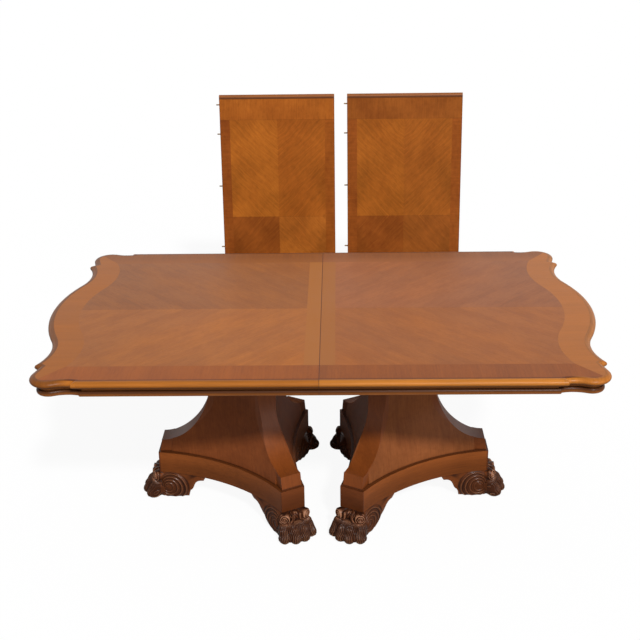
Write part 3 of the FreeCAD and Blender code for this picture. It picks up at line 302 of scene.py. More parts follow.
def paw_toe(along, side, up, place):
    """One toe: pad and knuckle eggs joined smoothly, with hair combed down over both to a ragged hem."""
    turn = TOE_TURN * place
    setback = TOE_SETBACK * (place ** 2 - 0.25)
    out, over = along - (TOE_TIP - setback), side - TOE_PITCH * place
    ahead = out * math.cos(turn) + over * math.sin(turn)
    across = over * math.cos(turn) - out * math.sin(turn)
    here = (ahead, across, up)
    toe = smooth_join(egg(here, *TOE_PAD), egg(here, *TOE_KNUCKLE), KNUCKLE_JOIN)
    wave = wave_at(up, HAIR_WAVE, HAIR_PHASES[0] * place) + HAIR_PHASES[1] * place
    hair = combed_hair(across, HAIR_PITCH, wave)
    hem = HEM_HEIGHT + HEM_RAGGED * np.abs(np.sin(math.pi * across / (2 * HAIR_PITCH) + place))
    combed = ease(up, hem - HEM_SOFT, hem + HEM_SOFT)
    return toe - HAIR_DEPTH * hair * combed + HEM_STEP * (1 - combed)


def hairy_paw(along, side, up):
    """Paw without its toes: instep and collar with a combed mane, and a brow of fronds above them."""
    here = (along, side, up)
    fan = np.arctan2(side, along - MANE_CENTRE)
    mane = combed_hair(fan, MANE_PITCH, wave_at(up, MANE_WAVE)) * ease(along, *MANE_OUTS)
    paw = smooth_join(egg(here, *INSTEP), egg(here, *COLLAR), COLLAR_JOIN) - HAIR_DEPTH * mane
    leaning = side + FROND_LEAN * np.abs(up - BROW[0][2])
    fronds = combed_hair(leaning, FROND_PITCH, wave_at(up, FROND_WAVE))
    return smooth_join(paw, egg(here, *BROW) - FROND_DEPTH * fronds, BROW_JOIN)


def foot_field(along, side, up, flanks):
    """Distance field of the foot: bracket with ogee heel and flank scrolls, hairy paw, two corner scrolls."""
    heel = np.interp(up, HEEL_UPS, HEEL_OUTS) - along
    volute = flank_volute(along, up)
    left = side - flank_reach(along, up, flanks[0]) - volute
    right = -side - flank_reach(along, up, flanks[1]) - volute
    swell = FRONT_SWELL * ease(FOOT_HEIGHT - up, *FRONT_SWELL_DROPS)
    front = along - PLINTH_REACH + FOOT_EASE - swell
    bracket = np.maximum(np.maximum(left, right), np.maximum(heel, front))
    toes = paw_toe(along, side, up, TOE_PLACES[0])
    for place in TOE_PLACES[1:]:
        toes = smooth_join(toes, paw_toe(along, side, up, place), TOE_JOIN)
    paw = smooth_join(hairy_paw(along, side, up), toes, PAW_JOIN)
    foot = smooth_join(bracket, paw, BRACKET_JOIN)
    for hand in (-1, 1):
        foot = smooth_join(foot, corner_scroll(along, side, up, hand), SCROLL_JOIN)
    return foot


def blurred(values, width):
    """Mean over a square of the grid, round the closed direction and clamped at the open one."""
    around = sum(np.roll(values, step, axis=0) for step in range(-width, width + 1))
    padded = np.pad(around, ((0, 0), (width, width)), mode="edge")
    rows = values.shape[1]
    total = sum(padded[:, step:step + rows] for step in range(2 * width + 1))
    return total / (2 * width + 1) ** 2


def carved_foot(flanks):
    """Foot as a reach over turn and height: each ray walks in by a share of the distance left to the field.

    Returns places on the grid in the arm's own frame, and how far each is hollow, carved and rubbed.
    """
    turn = np.linspace(0, math.tau, FOOT_AROUND, endpoint=False)
    turn, up = np.meshgrid(turn, np.linspace(FOOT_LOW, FOOT_HEIGHT, FOOT_ROWS), indexing="ij")
    reach = np.full(turn.shape, FOOT_START)
    for _ in range(FOOT_STEPS):
        along = FOOT_AXIS + reach * np.cos(turn)
        reach = reach - FOOT_STEP_SHARE * foot_field(along, reach * np.sin(turn), up, flanks)
    along = FOOT_AXIS + reach * np.cos(turn)
    side = reach * np.sin(turn)
    hollow = np.clip((blurred(reach, HOLLOW_BLUR) - reach) / HOLLOW_DEPTH, -1, 1)
    scroll = ease(VOLUTE_REACH - volute_place(along, up)[0], 0, STAIN_EDGE)
    paw = ease(along, PLINTH_REACH - STAIN_FRONT[0], PLINTH_REACH + STAIN_FRONT[1])
    carved = np.maximum(0.7 * scroll, paw)
    from_roll = np.hypot(np.abs(side) - SCROLL_PLACE[1] - RUBBED_OUT, up - SCROLL_PLACE[2])
    rubbed = ease(SCROLL_RADIUS + RUBBED_OVER - from_roll, 0, RUBBED_EDGE)
    rubbed = np.maximum(rubbed, 0.4 * ease(up, *RUBBED_UPS)) * ease(along, *RUBBED_OUTS)
    return np.stack([along, side, up], axis=-1), (hollow, carved, rubbed)


def grid_faces(around, rows):
    """Quads of a grid closed in its first direction, and the two rings of triangles that close its ends."""
    ring = np.arange(around)
    after = np.roll(ring, -1)
    row = np.arange(rows - 1)[:, None]
    quads = np.stack(
        [ring * rows + row, after * rows + row, after * rows + row + 1, ring * rows + row + 1], axis=-1
    ).reshape(-1, 4)
    low, high = around * rows, around * rows + 1
    floor = np.stack([np.full(around, low), after * rows, ring * rows], axis=-1)
    roof = np.stack([np.full(around, high), ring * rows + rows - 1, after * rows + rows - 1], axis=-1)
    return quads.tolist() + floor.tolist() + roof.tolist()


def foot_piece(name, shape, mirrored, pedestal, arm, body, finish):
    """Places a carved foot on its arm: turned to the arm's angle and moved out to the pedestal's axis."""
    grid, shares = shape
    if mirrored:
        grid = grid[::-1] * np.array([1, -1, 1])
        shares = [values[::-1] for values in shares]
    across, out = math.cos(math.radians(arm)), math.sin(math.radians(arm))
    spin = np.array([[across, out, 0], [-out, across, 0], [0, 0, 1]])
    ends = np.array([[FOOT_AXIS, 0, FOOT_DISH], [FOOT_AXIS, 0, FOOT_HEIGHT]])
    places = np.concatenate([grid.reshape(-1, 3), ends]) @ spin + np.array([pedestal, 0, 0])
    mesh = bpy.data.meshes.new(name)
    mesh.from_pydata(places, [], grid_faces(*grid.shape[:2]))
    mesh.polygons.foreach_set("use_smooth", np.ones(len(mesh.polygons), dtype=bool))
    for label, values in zip(("hollow", "carved", "rubbed"), shares):
        layer = mesh.attributes.new(label, "FLOAT", "POINT")
        layer.data.foreach_set("value", np.append(values.ravel(), [0.0, 0.0]).astype(np.float32))
    mesh.materials.append(finish)
    piece = bpy.data.objects.new(name, mesh)
    bpy.context.scene.collection.objects.link(piece)
    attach(piece, body)
    return piece


class Shade:
    """One output of a material's nodes; operators on it add Math nodes to the same tree."""

    def __init__(self, tree, socket=None):
        self.tree = tree
        self.socket = socket

    def node(self, kind, settings=None, sockets=None, output=0):
        """Adds a node of that type, sets it up, then fills its sockets with values or links."""
        node = self.tree.nodes.new(kind)
        for key, value in (settings or {}).items():
            setattr(node, key, value)
        for key, value in (sockets or {}).items():
            if isinstance(value, Shade):
                self.tree.links.new(value.socket, node.inputs[key])
            else:
                node.inputs[key].default_value = value
        return Shade(self.tree, node.outputs[output])

    def math(self, operation, a, b=0.0, clamp=False):
        settings = {"operation": operation, "use_clamp": clamp}
        return self.node("ShaderNodeMath", settings, {0: a, 1: b})

    def __add__(self, other):
        return self.math("ADD", self, other)

    def __radd__(self, other):
        return self.math("ADD", other, self)

    def __sub__(self, other):
        return self.math("SUBTRACT", self, other)

    def __rsub__(self, other):
        return self.math("SUBTRACT", other, self)

    def __mul__(self, other):
        return self.math("MULTIPLY", self, other)

    def __rmul__(self, other):
        return self.math("MULTIPLY", other, self)

    def __abs__(self):
        return self.math("ABSOLUTE", self)

    def clamped(self):
        return self.math("ADD", self, 0.0, clamp=True)

    def above(self, low, high):
        """Smooth step of this value from low to high."""
        settings = {"interpolation_type": "SMOOTHSTEP"}
        return self.node("ShaderNodeMapRange", settings, {"Value": self, "From Min": low, "From Max": high})

    def mixed(self, first, second, blend="MIX"):
        """Colour between first and second, with this value as the share of the second."""
        settings = {"data_type": "RGBA", "blend_type": blend}
        return self.node("ShaderNodeMix", settings, {0: self, 6: first, 7: second}, output=2)

    def tinted(self, tone, tint):
        """The tone with this share of it multiplied by the tint."""
        return self.mixed(tone, colour(*tint), "MULTIPLY")

    def noise(self, x, y, z, detail=3.0, roughness=0.55):
        """Noise at a point put together from three values that already hold their scales."""
        point = self.node("ShaderNodeCombineXYZ", {}, {0: x, 1: y, 2: z})
        sockets = {"Vector": point, "Scale": 1.0, "Detail": detail, "Roughness": roughness}
        return self.node("ShaderNodeTexNoise", {"noise_dimensions": "3D"}, sockets)


def colour(red, green, blue):
    """A tone as an opaque colour."""
    return (red, green, blue, 1.0)


def new_material(name):
    """Empty material with its Principled shader, and the object's place as three shades."""
    material = bpy.data.materials.new(name)
    material.use_nodes = True
    tree = material.node_tree
    shader = tree.nodes["Principled BSDF"]
    start = Shade(tree)
    place = start.node("ShaderNodeTexCoord", output="Object")
    parts = [start.node("ShaderNodeSeparateXYZ", {}, {0: place}, output=axis) for axis in range(3)]
    return material, shader, parts


def link(shader, name, shade):
    """Leads a shade to one of the shader's sockets."""
    shade.tree.links.new(shade.socket, shader.inputs[name])


def bumped(shader, height, strength, distance):
    """Leads a bump of that height, strength and depth to the shader's normal."""
    sockets = {"Strength": strength, "Distance": distance, "Height": height}
    link(shader, "Normal", height.node("ShaderNodeBump", {}, sockets))


def figure(along, across, depth, seed, streak_width, sway):
    """Wood figure: streaks, thin lines, fibres and short dark pores, each a noise drawn along the grain."""
    drift = along.noise(along * 1.6 + seed, across * 2.2, depth * 2.0, detail=2.0)
    bent = across + (drift - 0.5) * sway
    streak = along.noise(along * 0.9 + seed, bent * (1.0 / streak_width), depth * 9.0, detail=4.0)
    lines = along.noise(along * 5.0, bent * 190.0, depth * 60.0 + seed, detail=2.0, roughness=0.6)
    fibre = along.noise(along * 16.0, bent * 520.0, depth * 160.0 + seed, detail=3.0, roughness=0.65)
    pore = along.noise(along * 95.0 + seed, bent * 1500.0, depth * 700.0, detail=1.0)
    cloud = along.noise(along * 3.1, across * 4.3 + seed, depth * 4.0, detail=3.0)
    return streak, lines, fibre, pore.above(0.62, 0.74), cloud


def finished_wood(shader, grain, mean, spread, gloss):
    """Puts a figure on a shader: tone from streaks and fibres, darker pores, uneven polish, a fine bump."""
    streak, lines, fibre, pore, cloud = grain
    dark = colour(*(channel * (1 - spread) for channel in mean))
    light = colour(*(channel * (1 + spread) for channel in mean))
    share = 0.5 + (streak - 0.5) * 0.7 + (lines - 0.5) * 1.1 + (fibre - 0.5) * 0.6
    tone = (share + (cloud - 0.5) * 1.1).clamped().mixed(dark, light)
    tone = (pore * 0.25).mixed(tone, colour(*(channel * 0.4 for channel in mean)))
    polish = gloss + (cloud - 0.5) * 0.16 + (fibre - 0.5) * 0.08 + pore * 0.12
    link(shader, "Roughness", polish.clamped())
    bumped(shader, fibre * 0.5 - pore, 0.12, WOOD_BUMP)
    return tone


def veneer(name, grain, mean, spread=0.15, gloss=0.34, specular=0.15, retouch=None):
    """Polished wood on any grain; retouch changes the tone by place before it reaches the shader."""
    material, shader, (x, y, z) = new_material(name)
    tone = finished_wood(shader, figure(*grain(x, y, z)), mean, spread, gloss)
    if retouch:
        tone = retouch(tone, x, y, z)
    link(shader, "Base Color", tone)
    shader.inputs["Specular IOR Level"].default_value = specular
    return material


# Mean tones of the finished woods, of glaze, and of painted shade
FIELD_GOLD = (0.410, 0.123, 0.0140)
BAND_BROWN = (0.318, 0.079, 0.0070)
REAR_BAND_LEFT = (0.286, 0.083, 0.0094)
# The right rear band's tone carries painted sheen
REAR_BAND_RIGHT_PAINTED_SHEEN = (0.312, 0.098, 0.0260)
STRIP_GOLD = (0.385, 0.128, 0.0185)
END_GOLD = (0.400, 0.124, 0.0180)
EDGE_GOLD = (0.430, 0.150, 0.0220)
BEAD_BROWN = (0.245, 0.078, 0.0160)
LEAF_EDGE_BROWN = (0.225, 0.072, 0.0170)
LEAF_GOLD = (0.328, 0.095, 0.0108)
LEAF_BAND_GOLD = (0.325, 0.090, 0.0116)
PANEL_BROWN = (0.204, 0.063, 0.0185)
FIN_BROWN = (0.170, 0.042, 0.0080)
PLINTH_BROWN = (0.145, 0.039, 0.0078)
STAINED_BROWN = (0.120, 0.038, 0.0120)
SLIDE_TAN = (0.380, 0.250, 0.1300)
# Dark glaze of joints and seams, also used as painted shade below the bullnose
DARK_GLAZE_AND_PAINTED_SHADE = (0.050, 0.0130, 0.0040)
RED_GLAZE = (0.085, 0.0150, 0.0020)
# Dark brown of painted shade lines: on the bead below the bullnose, above the plinth and under it
PAINTED_SHADE_BROWN = (0.024, 0.0065, 0.0025)

# Tones of the carving, where the ridge and worn tones are rubbed wear with painted highlight and the tip tone
# is painted highlight, and dark and light tones of metal and nylon
BRACKET_TONES = ((0.105, 0.026, 0.0060), (0.165, 0.045, 0.0100))
CARVED_TONES = ((0.020, 0.0058, 0.0024), (0.058, 0.0170, 0.0062))
CARVED_RUBBED = (0.088, 0.0235, 0.0095)
CARVED_RIDGE_WEAR_AND_HIGHLIGHT = (0.250, 0.086, 0.0340)
CARVED_WORN_AND_HIGHLIGHT = (0.420, 0.205, 0.1200)
CARVED_TIP_HIGHLIGHT = (0.420, 0.220, 0.1100)
CARVED_HOLLOW = (0.012, 0.0038, 0.0020)
STEEL_TONES = ((0.34, 0.34, 0.35), (0.62, 0.62, 0.63))
BRASS_TONES = ((0.130, 0.076, 0.036), (0.280, 0.180, 0.095))
NYLON_TONES = ((0.030, 0.026, 0.022), (0.060, 0.052, 0.045))
FLOOR_DUST = (0.17, 0.15, 0.13)

# Tints that multiply a tone where sheets, sides and edges differ. The right-hand field, band and strip tints
# are painted sheen; the rear left field, left end band, lipping's left half and ends, left panels, plinth
# ends and lower plinth tints are painted shade; the plinth's upper tint is a painted highlight.
BROAD_PATCH = (0.80, 0.75, 0.73)
FINE_PATCH = (0.82, 0.78, 0.76)
FIELD_REAR_LEFT_PAINTED_SHADE = (0.80, 0.81, 0.95)
FIELD_FRONT_RIGHT_PAINTED_SHEEN = (0.88, 0.85, 1.0)
FIELD_REAR_RIGHT_PAINTED_SHEEN = (0.88, 0.90, 2.0)
FIELD_OUTER = (0.84, 0.84, 0.80)
BAND_EDGE = (0.78, 0.74, 0.64)
BAND_FRONT_RIGHT_PAINTED_SHEEN = (0.88, 0.89, 1.0)
BAND_REAR_LEFT = (0.76, 0.87, 1.0)
BAND_REAR_RIGHT_PAINTED_SHEEN = (0.80, 0.97, 2.2)
STRIP_RIGHT_PAINTED_SHEEN = (0.93, 0.92, 1.0)
END_LEFT_PAINTED_SHADE = (0.83, 0.78, 0.42)
LIPPING_LEFT_PAINTED_SHADE = (0.82, 0.76, 0.68)
LIPPING_END_PAINTED_SHADE = (0.80, 0.74, 0.80)
LIPPING_LEFT_END_PAINTED_SHADE = (0.60, 0.60, 0.64)
PANEL_LEFT_PAINTED_SHADE = (0.88, 0.76, 0.68)
PLINTH_END_PAINTED_SHADE = (0.62, 0.60, 0.78)
PLINTH_PAINTED_HIGHLIGHT = (1.42, 1.42, 1.42)
PLINTH_LOW_PAINTED_SHADE = (0.86, 0.84, 0.80)

# Tints of each leaf's four sheets, upper left to lower right, and of its end, left and right bands
LEAF_TINTS = {
    "left": (
        ((1.0, 1.0, 1.0), (0.88, 0.83, 0.86), (0.67, 0.59, 0.72), (0.95, 0.95, 1.1)),
        ((1.06, 1.08, 1.06), (0.73, 0.66, 0.74), (0.84, 0.80, 0.80)),
    ),
    "right": (
        ((0.90, 0.89, 0.92), (0.85, 0.83, 0.93), (0.65, 0.57, 0.72), (0.73, 0.70, 0.90)),
        ((0.78, 0.79, 0.92), (0.73, 0.66, 0.74), (0.78, 0.72, 0.80)),
    ),
}

# Seed, streak width and sway of each wood's figure, in metres
FIELD_STREAKS = (3.7, 0.026, 0.05)
BAND_STREAKS = (11.2, 0.024, 0.02)
END_STREAKS = (23.5, 0.030, 0.03)
EDGE_STREAKS = (5.1, 0.010, 0.01)
LEAF_FIELD_STREAKS = (3.7, 0.014, 0.05)
LEAF_BAND_STREAKS = (17.0, 0.014, 0.03)
LEAF_EDGE_STREAKS = (8.3, 0.010, 0.01)
UPRIGHT_STREAKS = (31.0, 0.024, 0.04)
LYING_STREAKS = (41.0, 0.018, 0.03)
RAIL_STREAKS = (52.0, 0.020, 0.02)
CARVED_STREAKS = (61.0, 0.014, 0.02)
DIAGONAL = math.sqrt(0.5)


def step_at(value, place):
    """Share of what lies past a joint line at the place."""
    return value.above(place - JOINT_LINE, place + JOINT_LINE)


def line_at(value, place, width):
    """Share of a thin line of that half width at the place."""
    return 1 - abs(value - place).above(width * 0.5, width * 1.5)


def mottled(tone, along, across, seed, share):
    """Patches of darker and redder polish, a broad and a fine set, in that share."""
    broad = along.noise(along * 5.0 + seed, across * 7.0, seed, detail=5.0, roughness=0.62)
    tone = (broad.above(0.36, 0.68) * share).tinted(tone, BROAD_PATCH)
    fine = along.noise(along * 38.0, across * 60.0 + seed, seed, detail=2.0)
    return (fine.above(0.42, 0.70) * (0.6 * share)).tinted(tone, FINE_PATCH)


def quartered(x, y, z):
    """Grain of the four matched fields: it runs out from the middle at an angle, mirrored at both joints."""
    out, over = abs(x), abs(y)
    return (out + over) * DIAGONAL, (out - over) * DIAGONAL, z, *FIELD_STREAKS


def quarter_tones(tone, x, y, z):
    """The sheets take the light differently, painted into their tones: the front left one is lightest, the
    rear left one darkest with painted shade, and the right ones greyed by painted sheen.
    """
    right, rear = step_at(x, 0.0), step_at(y, 0.0)
    along, across = quartered(x, y, z)[:2]
    tone = mottled(tone, along * 1.4, across * 2.4, 4.0, 0.75)
    # Painted shade on the rear left sheet and painted sheen on the two right sheets.
    tone = ((1 - right) * rear).tinted(tone, FIELD_REAR_LEFT_PAINTED_SHADE)
    tone = (right * (1 - rear)).tinted(tone, FIELD_FRONT_RIGHT_PAINTED_SHEEN)
    tone = (right * rear).tinted(tone, FIELD_REAR_RIGHT_PAINTED_SHEEN)
    outer = abs(x).above(*FIELD_FADE) * (1 - 0.8 * right * (1 - rear))
    tone = outer.tinted(tone, FIELD_OUTER)
    return (line_at(y, 0.0, FIELD_LINE) * 0.35).mixed(tone, colour(*RED_GLAZE))


def crossbanded(x, y, z):
    """Grain across the front and rear bands, and across the seam strip between them."""
    band = step_at(abs(y), FIELD_EDGE_Y)
    along = band * y + (1 - band) * x
    across = band * x + (1 - band) * y
    return along, across, z, *BAND_STREAKS


def band_tones(tone, x, y, z):
    """The seam strips are lighter than the long bands; dark lines run down the seam and along the edge; on
    the right half the bands and strip are greyed by painted sheen.
    """
    right, rear = step_at(x, 0.0), step_at(y, 0.0)
    tone = mottled(tone, y * 0.8, x * 1.6, 9.0, 0.5)
    edge = 1 - y.above(BAND_FRONT_Y, BAND_FRONT_Y + BAND_SHADE)
    tone = edge.tinted(tone, BAND_EDGE)
    glaze = 1 - y.above(BAND_FRONT_Y + RIM_LINE, BAND_FRONT_Y + 2.5 * RIM_LINE)
    tone = (glaze * 0.6).mixed(tone, colour(*RED_GLAZE))
    # Painted sheen greys the right front and rear bands and the inner part of the right rear band.
    tone = (right * (1 - rear)).tinted(tone, BAND_FRONT_RIGHT_PAINTED_SHEEN)
    tone = ((1 - right) * rear).tinted(tone, BAND_REAR_LEFT)
    tone = (right * rear).tinted(tone, BAND_REAR_RIGHT_PAINTED_SHEEN)
    inner = rear * (1 - y.above(FIELD_EDGE_Y, FIELD_EDGE_Y + REAR_BAND_FADE)) * 0.80
    tone = inner.mixed(tone, right.mixed(colour(*REAR_BAND_LEFT), colour(*REAR_BAND_RIGHT_PAINTED_SHEEN)))
    strip = 1 - step_at(abs(y), FIELD_EDGE_Y)
    tone = (strip * 0.9).mixed(tone, colour(*STRIP_GOLD))
    # Painted sheen greys the right seam strip.
    tone = (strip * right).tinted(tone, STRIP_RIGHT_PAINTED_SHEEN)
    joint = (1 - rear) * line_at(abs(y), FIELD_EDGE_Y, FIELD_LINE)
    tone = (joint * 0.25).mixed(tone, colour(*DARK_GLAZE_AND_PAINTED_SHADE))
    return (line_at(x, 0.0, SEAM_LINE) * 0.85).mixed(tone, colour(*RED_GLAZE))


def end_grain_band(x, y, z):
    """Grain of the shaped end bands: across the table."""
    return x, y, z, *END_STREAKS


def end_tones(tone, x, y, z):
    """The left end band is darker and warmer than the right one: painted shade."""
    return (1 - step_at(x, 0.0)).tinted(tone, END_LEFT_PAINTED_SHADE)


def edge_grain(x, y, z):
    """Grain of the edge lipping: along the straight sides, then round the shaped end."""
    end = abs(x).above(STRAIGHT_REACH - END_BLEND, STRAIGHT_REACH + END_BLEND)
    along = end * y + (1 - end) * x
    across = end * x + (1 - end) * y
    return along, across, z * 1.5, *EDGE_STREAKS


def seam_glaze(tone, x):
    """Dark glaze in the open seam between the halves of an edge."""
    return (line_at(x, 0.0, EDGE_SEAM_LINE) * 0.85).mixed(tone, colour(*DARK_GLAZE_AND_PAINTED_SHADE))


def edge_tones(tone, x, y, z):
    """Dark glaze lies in the line beside the veneer and in the open seam; the dark in the quirk below the
    bullnose is painted shade, and painted shade darkens the left half and the shaped ends.
    """
    left = 1 - step_at(x, 0.0)
    # Painted shade darkens the lipping's left half.
    tone = left.tinted(tone, LIPPING_LEFT_PAINTED_SHADE)
    end = abs(x).above(STRAIGHT_REACH, STRAIGHT_REACH + END_FADE)
    beside = y.above(BAND_FRONT_Y - RIM_LINE, BAND_FRONT_Y)
    rim = z.above(TOP_Z - 2 * RIM_DEPTH, TOP_Z - RIM_DEPTH) * beside * (0.9 - 0.75 * end)
    tone = rim.mixed(tone, colour(*RED_GLAZE))
    # Painted shade darkens the shaped ends, the left one more.
    tone = (end * 0.7).tinted(tone, LIPPING_END_PAINTED_SHADE)
    tone = (end * left).tinted(tone, LIPPING_LEFT_END_PAINTED_SHADE)
    # Painted shade below the bullnose, in the dark tone of glaze.
    under = 1 - z.above(LIPPING_LOW_Z, LIPPING_LOW_Z + UNDER_PAINTED_SHADE)
    return seam_glaze((under * 0.75).mixed(tone, colour(*DARK_GLAZE_AND_PAINTED_SHADE)), x)


def moulding_tones(tone, x, y, z):
    """Painted shade lies on the bead's upper edge below the cove, under the bullnose's overhang, and glaze in
    the open seam.
    """
    cove = z.above(BEAD_TOP_Z + COVE_FOOT[0], BEAD_TOP_Z + COVE_FOOT[1])
    bead_shade = z.above(BEAD_TOP_Z - BEAD_PAINTED_SHADE[0], BEAD_TOP_Z - BEAD_PAINTED_SHADE[1]) * (1 - 0.9 * cove)
    return seam_glaze((bead_shade * 0.85).mixed(tone, colour(*PAINTED_SHADE_BROWN)), x)


class Leaf:
    """Grain and tones of one leaf in its own leaning plane, taken from its field's box."""

    def __init__(self, side):
        low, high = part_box("leaf_%s_field_veneer" % side)
        self.middle = [(a + b) / 2 for a, b in zip(low, high)]
        self.half_long = (high[2] - low[2]) / 2 / math.cos(LEAF_LEAN)
        self.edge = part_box("leaf_%s_band_veneer" % side)[1][0] - self.middle[0]
        self.seed = self.middle[0] * 40.0
        self.sheet_tints, self.band_tints = LEAF_TINTS[side]

    def plane(self, x, y, z):
        """Sideways and lengthways place from the leaf's middle, and the depth below its face."""
        back, rise = y - self.middle[1], z - self.middle[2]
        run, lift = math.sin(LEAF_LEAN), math.cos(LEAF_LEAN)
        return x - self.middle[0], rise * lift + back * run, back * lift - rise * run

    def field_grain(self, x, y, z):
        """Four matched sheets, whose grain runs in towards the middle at an angle."""
        over, long, depth = self.plane(x, y, z)
        out, rise = abs(over), abs(long)
        return (out + rise) * DIAGONAL * 3.0, (rise - out) * DIAGONAL, depth, *LEAF_FIELD_STREAKS

    def field_tones(self, tone, x, y, z):
        """Each sheet has a tint of its own, and a dark line runs across where they meet."""
        over, long, _ = self.plane(x, y, z)
        right, top = step_at(over, 0.0), step_at(long, 0.0)
        tone = mottled(tone, long, over, self.seed, 0.7)
        sheets = ((1 - right) * top, right * top, (1 - right) * (1 - top), right * (1 - top))
        for sheet, tint in zip(sheets, self.sheet_tints):
            tone = sheet.tinted(tone, tint)
        return (line_at(long, 0.0, FIELD_LINE) * 0.3).mixed(tone, colour(*DARK_GLAZE_AND_PAINTED_SHADE))

    def band_grain(self, x, y, z):
        """Lengthways in the two end bands, sideways in the long ones."""
        over, long, depth = self.plane(x, y, z)
        end = step_at(abs(long), self.half_long)
        along = end * long + (1 - end) * over
        across = end * over + (1 - end) * long
        return along * 2.0, across, depth, *LEAF_BAND_STREAKS

    def band_tones(self, tone, x, y, z):
        """End, left and right bands have a tint each; dark lines lie at the field's ends and long edges."""
        over, long, _ = self.plane(x, y, z)
        tone = mottled(tone, long, over, self.seed, 1.0)
        end, right = step_at(abs(long), self.half_long), step_at(over, 0.0)
        bands = (end, (1 - end) * (1 - right), (1 - end) * right)
        for band, tint in zip(bands, self.band_tints):
            tone = band.tinted(tone, tint)
        lines = line_at(abs(long), self.half_long, LEAF_LINE) * 0.45
        lines = lines + abs(over).above(self.edge - LEAF_EDGE_LINE, self.edge) * 0.5
        return lines.clamped().mixed(tone, colour(*DARK_GLAZE_AND_PAINTED_SHADE))

    def edge_grain(self, x, y, z):
        """Sideways along the end lipping and its moulding."""
        over, long, depth = self.plane(x, y, z)
        return over, long, depth * 1.5, *LEAF_EDGE_STREAKS

    def edge_tones(self, tone, x, y, z):
        """Dark glaze in the line beside the veneer."""
        rim = 1 - self.plane(x, y, z)[2].above(*LEAF_RIM)
        return (rim * 0.7).mixed(tone, colour(*DARK_GLAZE_AND_PAINTED_SHADE))


def upright_grain(x, y, z):
    """Grain of the pedestal's fins and panels: upright."""
    return z, x + y * 0.37, y * 1.2, *UPRIGHT_STREAKS


def upright_tones(tone, x, y, z):
    """Painted shade in the corner above the plinth."""
    corner = 1 - z.above(PLINTH_TOP_Z + PAINTED_SHADE_LINE * 0.4, PLINTH_TOP_Z + PAINTED_SHADE_LINE * 1.4)
    return (corner * 0.75).mixed(tone, colour(*PAINTED_SHADE_BROWN))


def panel_tones(tone, x, y, z):
    """Painted shade above the plinth as on the fins, and painted shade makes the left pedestal's panels
    darker and redder.
    """
    tone = mottled(tone, z * 1.5, x + y * 0.37, 14.0, 0.7)
    tone = (1 - step_at(x, 0.0)).tinted(tone, PANEL_LEFT_PAINTED_SHADE)
    return upright_tones(tone, x, y, z)


def plinth_tones(tone, x, y, z):
    """Painted highlight lightens the faces towards their upper edge and painted shade darkens them below;
    painted shade darkens the ends and lies on the ledge on top.
    """
    out = abs(x) - PEDESTAL_X
    low, high = [(PLINTH_REACH - line) ** 2 for line in PLINTH_END_LINE]
    tone = (out * out + y * y).above(low, high).tinted(tone, PLINTH_END_PAINTED_SHADE)
    # Painted highlight along the upper edge, painted shade below it.
    painted_highlight = z.above(FOOT_HEIGHT + PLINTH_HIGHLIGHT_DEPTH, PLINTH_TOP_Z)
    tone = painted_highlight.tinted(tone, PLINTH_PAINTED_HIGHLIGHT)
    tone = (1 - painted_highlight).tinted(tone, PLINTH_LOW_PAINTED_SHADE)
    ledge = z.above(PLINTH_TOP_Z - PAINTED_SHADE_LINE * 0.2, PLINTH_TOP_Z)
    return (ledge * 0.6).mixed(tone, colour(*PAINTED_SHADE_BROWN))


def lying_grain(x, y, z):
    """Grain of the plinth: level round its three faces."""
    return x + y * 0.21, z, y - x * 0.4, *LYING_STREAKS


def rail_grain(x, y, z):
    """Grain of rails and boards under the top: along the table."""
    return x, y, z, *RAIL_STREAKS


